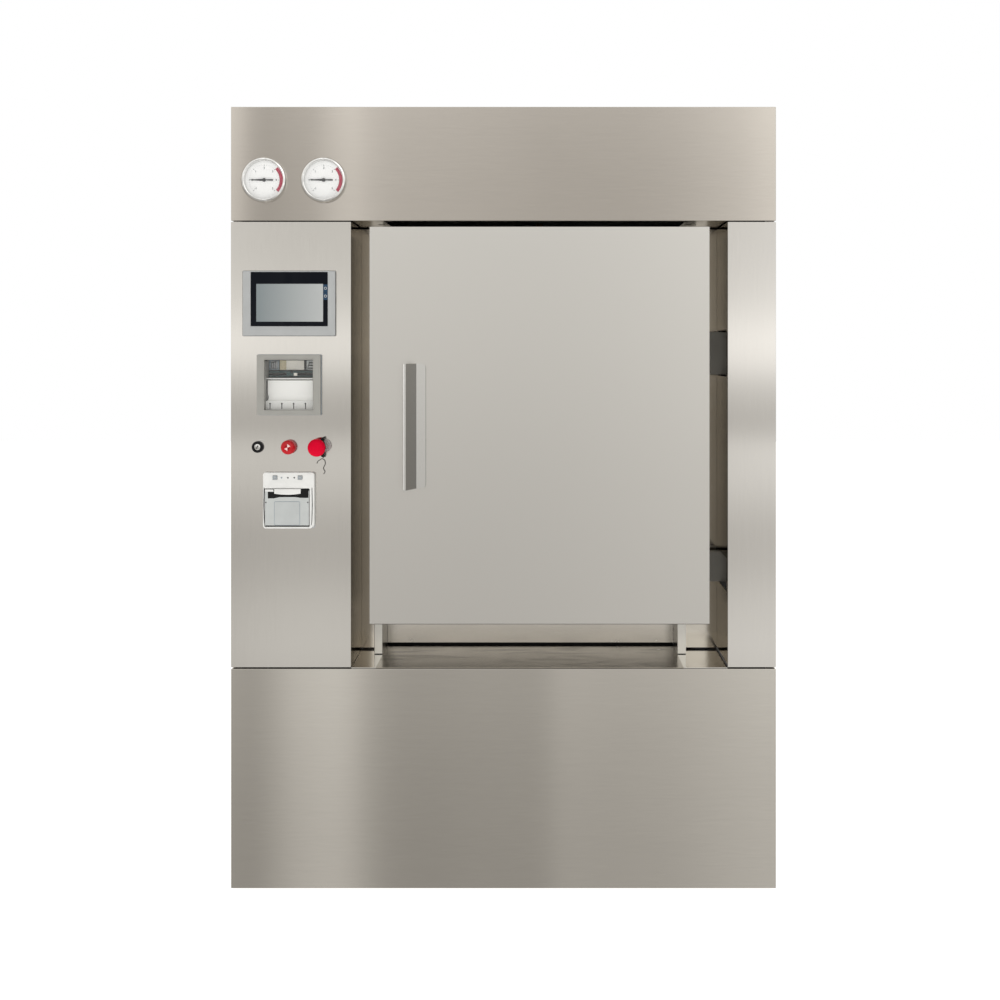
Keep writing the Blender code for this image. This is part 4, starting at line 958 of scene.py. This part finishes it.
def side_details():
    for side, node in ((-1, "left_side_panel"), (1, "right_side_panel")):
        low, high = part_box(node)
        face = low.x if side < 0 else high.x
        rim = border(low.y + 0.035, high.y - 0.035, low.z + 0.035, high.z - 0.035, 6, 3)
        heads(node + "_screws", [(face, y, z) for y, z in rim], (side, 0, 0))
        vents = [(face, low.y + 0.22 + 0.16 * c, low.z + 0.1 + 0.03 * r)
                 for r in range(7) for c in range(2)]
        louvres(node + "_louvres", vents, (0, 1, 0), (side, 0, 0), (0.12, 0.011, 0.007))


def rear_details():
    low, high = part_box("rear_panel")
    rim = border(low.x + 0.035, high.x - 0.035, low.z + 0.04, high.z - 0.04, 6, 5)
    heads("rear_panel_screws", [(x, high.y, z) for x, z in rim], (0, 1, 0))
    vents = [(-0.3 + 0.2 * c, high.y, high.z - 0.22 - 0.032 * r)
             for r in range(8) for c in range(4)]
    louvres("rear_panel_louvres", vents, (-1, 0, 0), (0, 1, 0), (0.16, 0.012, 0.008))


def roof_details():
    low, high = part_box("top_panel")
    rim = border(low.x + 0.04, high.x - 0.04, low.y + 0.04, high.y - 0.04, 5, 2)
    heads("top_panel_screws", [(x, y, high.z) for x, y in rim], (0, 0, 1))


def strainer():
    """Perforated cup over the chamber's drain, just inside the door."""
    low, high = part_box("chamber")
    here = Vector(((low.x + high.x) / 2, low.y + 0.16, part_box("loading_rails")[0].z))
    rim = [(0.0, 0.006), (0.02, 0.0055), (0.034, 0.0045), (0.042, 0.002), (0.046, 0.0)]
    cup = turned(rim + [(0.0, 0.0)], 48)
    cup.transform(Matrix.Translation(here) @ Matrix.Rotation(-math.pi / 2, 4, "X"))
    smooth(cup, 30)
    keep(cup, "drain_strainer", CHROME)
    shape = bmesh.new()
    for radius, count in ((0.009, 6), (0.018, 12), (0.027, 18)):
        for i in range(count):
            angle = 2 * math.pi * i / count
            offset = Vector((radius * math.cos(angle), radius * math.sin(angle), 0.0056))
            bmesh.ops.create_cone(shape, cap_ends=True, segments=10, radius1=0.0017,
                                  radius2=0.0015, depth=0.0016,
                                  matrix=Matrix.Translation(here + offset))
    # Black studs for the perforations: painted shade in the holes.
    keep(to_mesh(shape), "drain_strainer_hole_shade", BLACK)


def handle_lip():
    """Near-white steel strip on the handle's front lip: a painted highlight where the lip catches
    the light.
    """
    low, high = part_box("door_handle")
    front = low.y - FRONT
    strip = rounded(low.x + 0.0008, low.x + 0.0037, low.z + 0.001, high.z - 0.001, 0.0012)
    plate("handle_lip", [strip], front - 0.0005, front + 0.0001, HIGHLIGHT_STEEL, 0.0002, body="door")


def door_surround():
    """Painted shade: a dark line under the door's folded edge, dark lines at the feet of the posts
    where they meet the ledge and a black strip in the gap behind the ledge.
    """
    low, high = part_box("door_skin")
    # Dark strip: painted shade under the door's folded edge.
    block("door_lower_shade_line", low.x + 0.001, high.x - 0.001, low.y - FRONT + 0.002,
          low.y - FRONT + 0.006, low.z - 0.0012, low.z - 0.0001, DARK, 0.0002, body="door")
    low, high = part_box("portal_skirt")
    front = low.y - FRONT
    ledge_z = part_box("sill_tray")[1].z
    # Dark lines: painted shade where the posts meet the ledge.
    for side, x0 in (("left", low.x - 0.0206), ("right", high.x + 0.0006)):
        block(side + "_post_foot_shade", x0, x0 + 0.02, front - 0.1021, front - 0.1011, ledge_z,
              ledge_z + 0.0016, DARK, 0.0003)
    # Black strip: painted shade in the gap behind the ledge.
    block("gap_shade_strip", low.x, high.x, front + 0.005, front + 0.008, ledge_z - 0.0095,
          ledge_z + 0.015, BLACK)


def panel_ends():
    """Folded flanges that close the ends of the header and of the lower panel."""
    for node in ("header_panel", "lower_front_panel"):
        low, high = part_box(node)
        for side, x0 in (("left", low.x + 0.0003), ("right", high.x - 0.0018)):
            block(f"{node}_{side}_end", x0, x0 + 0.0015, 0.0016, 0.0215, low.z + 0.0016,
                  high.z - 0.0016, SIDES, 0.0003)


# ---------------------------------------------------------------- studio
FACE_DISTANCE = 3.0  # camera to the front panels
EYE = Vector((0.0847, 1.288))  # camera's x and z
SENSOR = 36.0
FRAME_WIDTH = 2.385  # how much of the front plane the frame spans
SHIFT = (-0.039, -0.15)  # of the frame, in sensor widths


def camera():
    data = bpy.data.cameras.new("camera")
    data.sensor_width = SENSOR
    data.lens = SENSOR * FACE_DISTANCE / FRAME_WIDTH
    data.shift_x, data.shift_y = SHIFT
    data.clip_end = 60.0
    eye = bpy.data.objects.new("camera", data)
    eye.location = (EYE.x, FRONT - FACE_DISTANCE, EYE.y)
    eye.rotation_euler = (math.pi / 2, 0.0, 0.0)
    bpy.context.scene.collection.objects.link(eye)
    bpy.context.scene.camera = eye


# How bright the studio is in a direction: sideways slopes for what lies high and low in it, and
# upwards slopes, with a level for each.
ACROSS_HIGH = [
    (-1.6, 0.95), (-0.8, 0.8), (-0.4, 1.0), (-0.262, 1.28), (-0.244, 1.34), (-0.232, 0.83),
    (-0.215, 0.74), (-0.2, 0.85), (-0.182, 0.88), (-0.168, 1.08), (-0.15, 1.32), (-0.136, 1.1),
    (-0.118, 0.99), (-0.08, 0.95), (-0.01, 0.88), (0.006, 0.86), (0.045, 0.86), (0.077, 0.88),
    (0.104, 0.93), (0.124, 1.0), (0.16, 1.17), (0.19, 1.46), (0.28, 1.42), (0.6, 0.75),
    (1.4, 0.95),
]
ACROSS_LOW = [
    (-1.6, 0.95), (-0.8, 0.8), (-0.4, 1.0), (-0.262, 1.12), (-0.244, 1.05), (-0.225, 0.94),
    (-0.212, 1.2), (-0.196, 1.52), (-0.18, 1.6), (-0.162, 1.72), (-0.147, 1.5), (-0.131, 1.09),
    (-0.11, 0.98), (-0.09, 0.98), (-0.05, 1.03), (-0.006, 1.02), (0.006, 1.08), (0.018, 1.26),
    (0.06, 1.24), (0.104, 1.3), (0.16, 1.52), (0.19, 1.62), (0.28, 1.45), (0.6, 0.75), (1.4, 0.95),
]
UPWARDS = [
    (-1.2, 0.75), (-0.62, 0.62), (-0.5, 0.4), (-0.36, 0.43), (-0.29, 0.5), (-0.235, 0.6),
    (-0.205, 0.57), (-0.17, 0.5), (-0.145, 0.5), (-0.124, 0.58), (-0.106, 0.67), (-0.086, 0.72),
    (-0.076, 0.74), (-0.07, 0.58), (-0.056, 0.52), (-0.042, 0.58), (-0.026, 0.72), (-0.01, 0.98),
    (0.006, 1.1), (0.022, 1.0), (0.042, 0.86), (0.068, 0.8), (0.1, 0.76), (0.14, 0.8),
    (0.22, 1.02), (0.4, 1.25), (1.2, 0.8),
]
BEHIND = [(-1.0, 0.4), (-0.4, 0.55), (-0.08, 0.78), (0.08, 1.05), (0.45, 1.15), (1.0, 0.85)]
DIFFUSE_SHARE = 0.62  # how much of the studio's light reaches what isn't shiny
TURNOVER = (-0.2, 0.0)  # upwards slopes between which low goes over into high
WARM_DARK, NEUTRAL = (1.0, 0.955, 0.885, 1.0), (1.0, 0.985, 0.955, 1.0)
RAMP_TOP = 2.0  # level that a ramp's white stands for


def level_ramp(graph, value, stops):
    low, high = stops[0][0], stops[-1][0]
    ramp = graph.add("ValToRGB", {"Fac": graph.between(value, low, high)})
    elements = ramp.color_ramp.elements
    while len(elements) < len(stops):
        elements.new(0.5)
    for element, (slope, level) in zip(elements, stops):
        element.position = (slope - low) / (high - low)
        element.color = (*[level / RAMP_TOP] * 3, 1.0)
    return ramp.outputs["Color"]


def studio():
    scene = bpy.context.scene
    scene.view_settings.view_transform = "Standard"
    world = bpy.data.worlds.new("studio")
    scene.world = world
    world.use_nodes = True
    world.node_tree.nodes.clear()
    graph = Graph(world.node_tree)

    x, y, z = graph.add("SeparateXYZ", {0: graph.add("TexCoord").outputs["Generated"]}).outputs
    depth = graph.math("MAXIMUM", graph.math("ABSOLUTE", y), 0.05)
    sideways, upwards = graph.math("DIVIDE", x, depth), graph.math("DIVIDE", z, depth)
    across = graph.blend(graph.between(upwards, *TURNOVER),
                         level_ramp(graph, sideways, ACROSS_LOW),
                         level_ramp(graph, sideways, ACROSS_HIGH))
    front = graph.math("MULTIPLY", across, level_ramp(graph, upwards, UPWARDS))
    front = graph.math("MULTIPLY", front, RAMP_TOP**2)
    behind = graph.math("MULTIPLY", level_ramp(graph, z, BEHIND), RAMP_TOP)
    level = graph.blend(graph.between(y, 0.0, 0.2), front, behind)

    path = graph.add("LightPath")
    matt = graph.math("MULTIPLY", path.outputs["Is Diffuse Ray"], 1 - DIFFUSE_SHARE)
    strength = graph.math("MULTIPLY", level, graph.math("SUBTRACT", 1.0, matt))
    tint = graph.mix(level, WARM_DARK, NEUTRAL)
    light = graph.add("Background", {"Color": tint, "Strength": strength})
    backdrop = graph.add("Background", {"Color": (1.0, 1.0, 1.0, 1.0)})
    seen = graph.add("MixShader", {0: path.outputs["Is Camera Ray"], 1: light.outputs[0],
                                   2: backdrop.outputs[0]})
    graph.add("OutputWorld", {"Surface": seen.outputs[0]})


def softbox(name, place, target, size, watts):
    data = bpy.data.lights.new(name, "AREA")
    data.shape = "RECTANGLE"
    data.size, data.size_y = size
    data.energy = watts
    lamp = bpy.data.objects.new(name, data)
    lamp.location = place
    aim = (Vector(target) - Vector(place)).to_track_quat("-Z", "Y")
    lamp.rotation_euler = aim.to_euler()
    lamp.visible_glossy = False
    bpy.context.scene.collection.objects.link(lamp)


def floor():
    shape = bmesh.new()
    bmesh.ops.create_grid(shape, x_segments=8, y_segments=8, size=14.0)
    mesh = to_mesh(shape)
    slab = bpy.data.objects.new("floor", mesh)
    bpy.context.scene.collection.objects.link(slab)
    finish = Finish("floor_paint", (0.93, 0.93, 0.925), 0.9)
    finish.set("Emission Color", (1.0, 1.0, 1.0, 1.0))
    finish.set("Emission Strength", 0.85)
    finish.set("Base Color", finish.shade(finish.between(finish.noise(3), 0.3, 0.7, 0.99, 1.0)))
    mesh.materials.append(finish.material)
    slab.visible_glossy = False


# ---------------------------------------------------------------- putting it together
dress_nodes()
soften(0.001, "header_panel", "lower_front_panel", "control_fascia", "right_fascia")
soften(0.0016, "door_skin")
soften(0.001, "door_handle", "left_door_post", "right_door_post")
soften(0.0006, "hmi_panel", "recorder_door", "printer_door")
gauge("chamber_gauge", "chamber_needle")
gauge("jacket_gauge", "jacket_needle")
touch_screen()
recorder()
key_switch()
stop_button()
mushroom()
printer()
side_details()
rear_details()
roof_details()
strainer()
door_surround()
panel_ends()
handle_lip()
camera()
studio()
softbox("fill", (-0.9, FRONT - 2.6, 2.7), (0.0, FRONT, 1.0), (2.6, 1.8), 11)
softbox("overhead", (0.2, 0.2, 3.4), (0.2, 0.0, 0.0), (3.0, 3.0), 9)
floor()
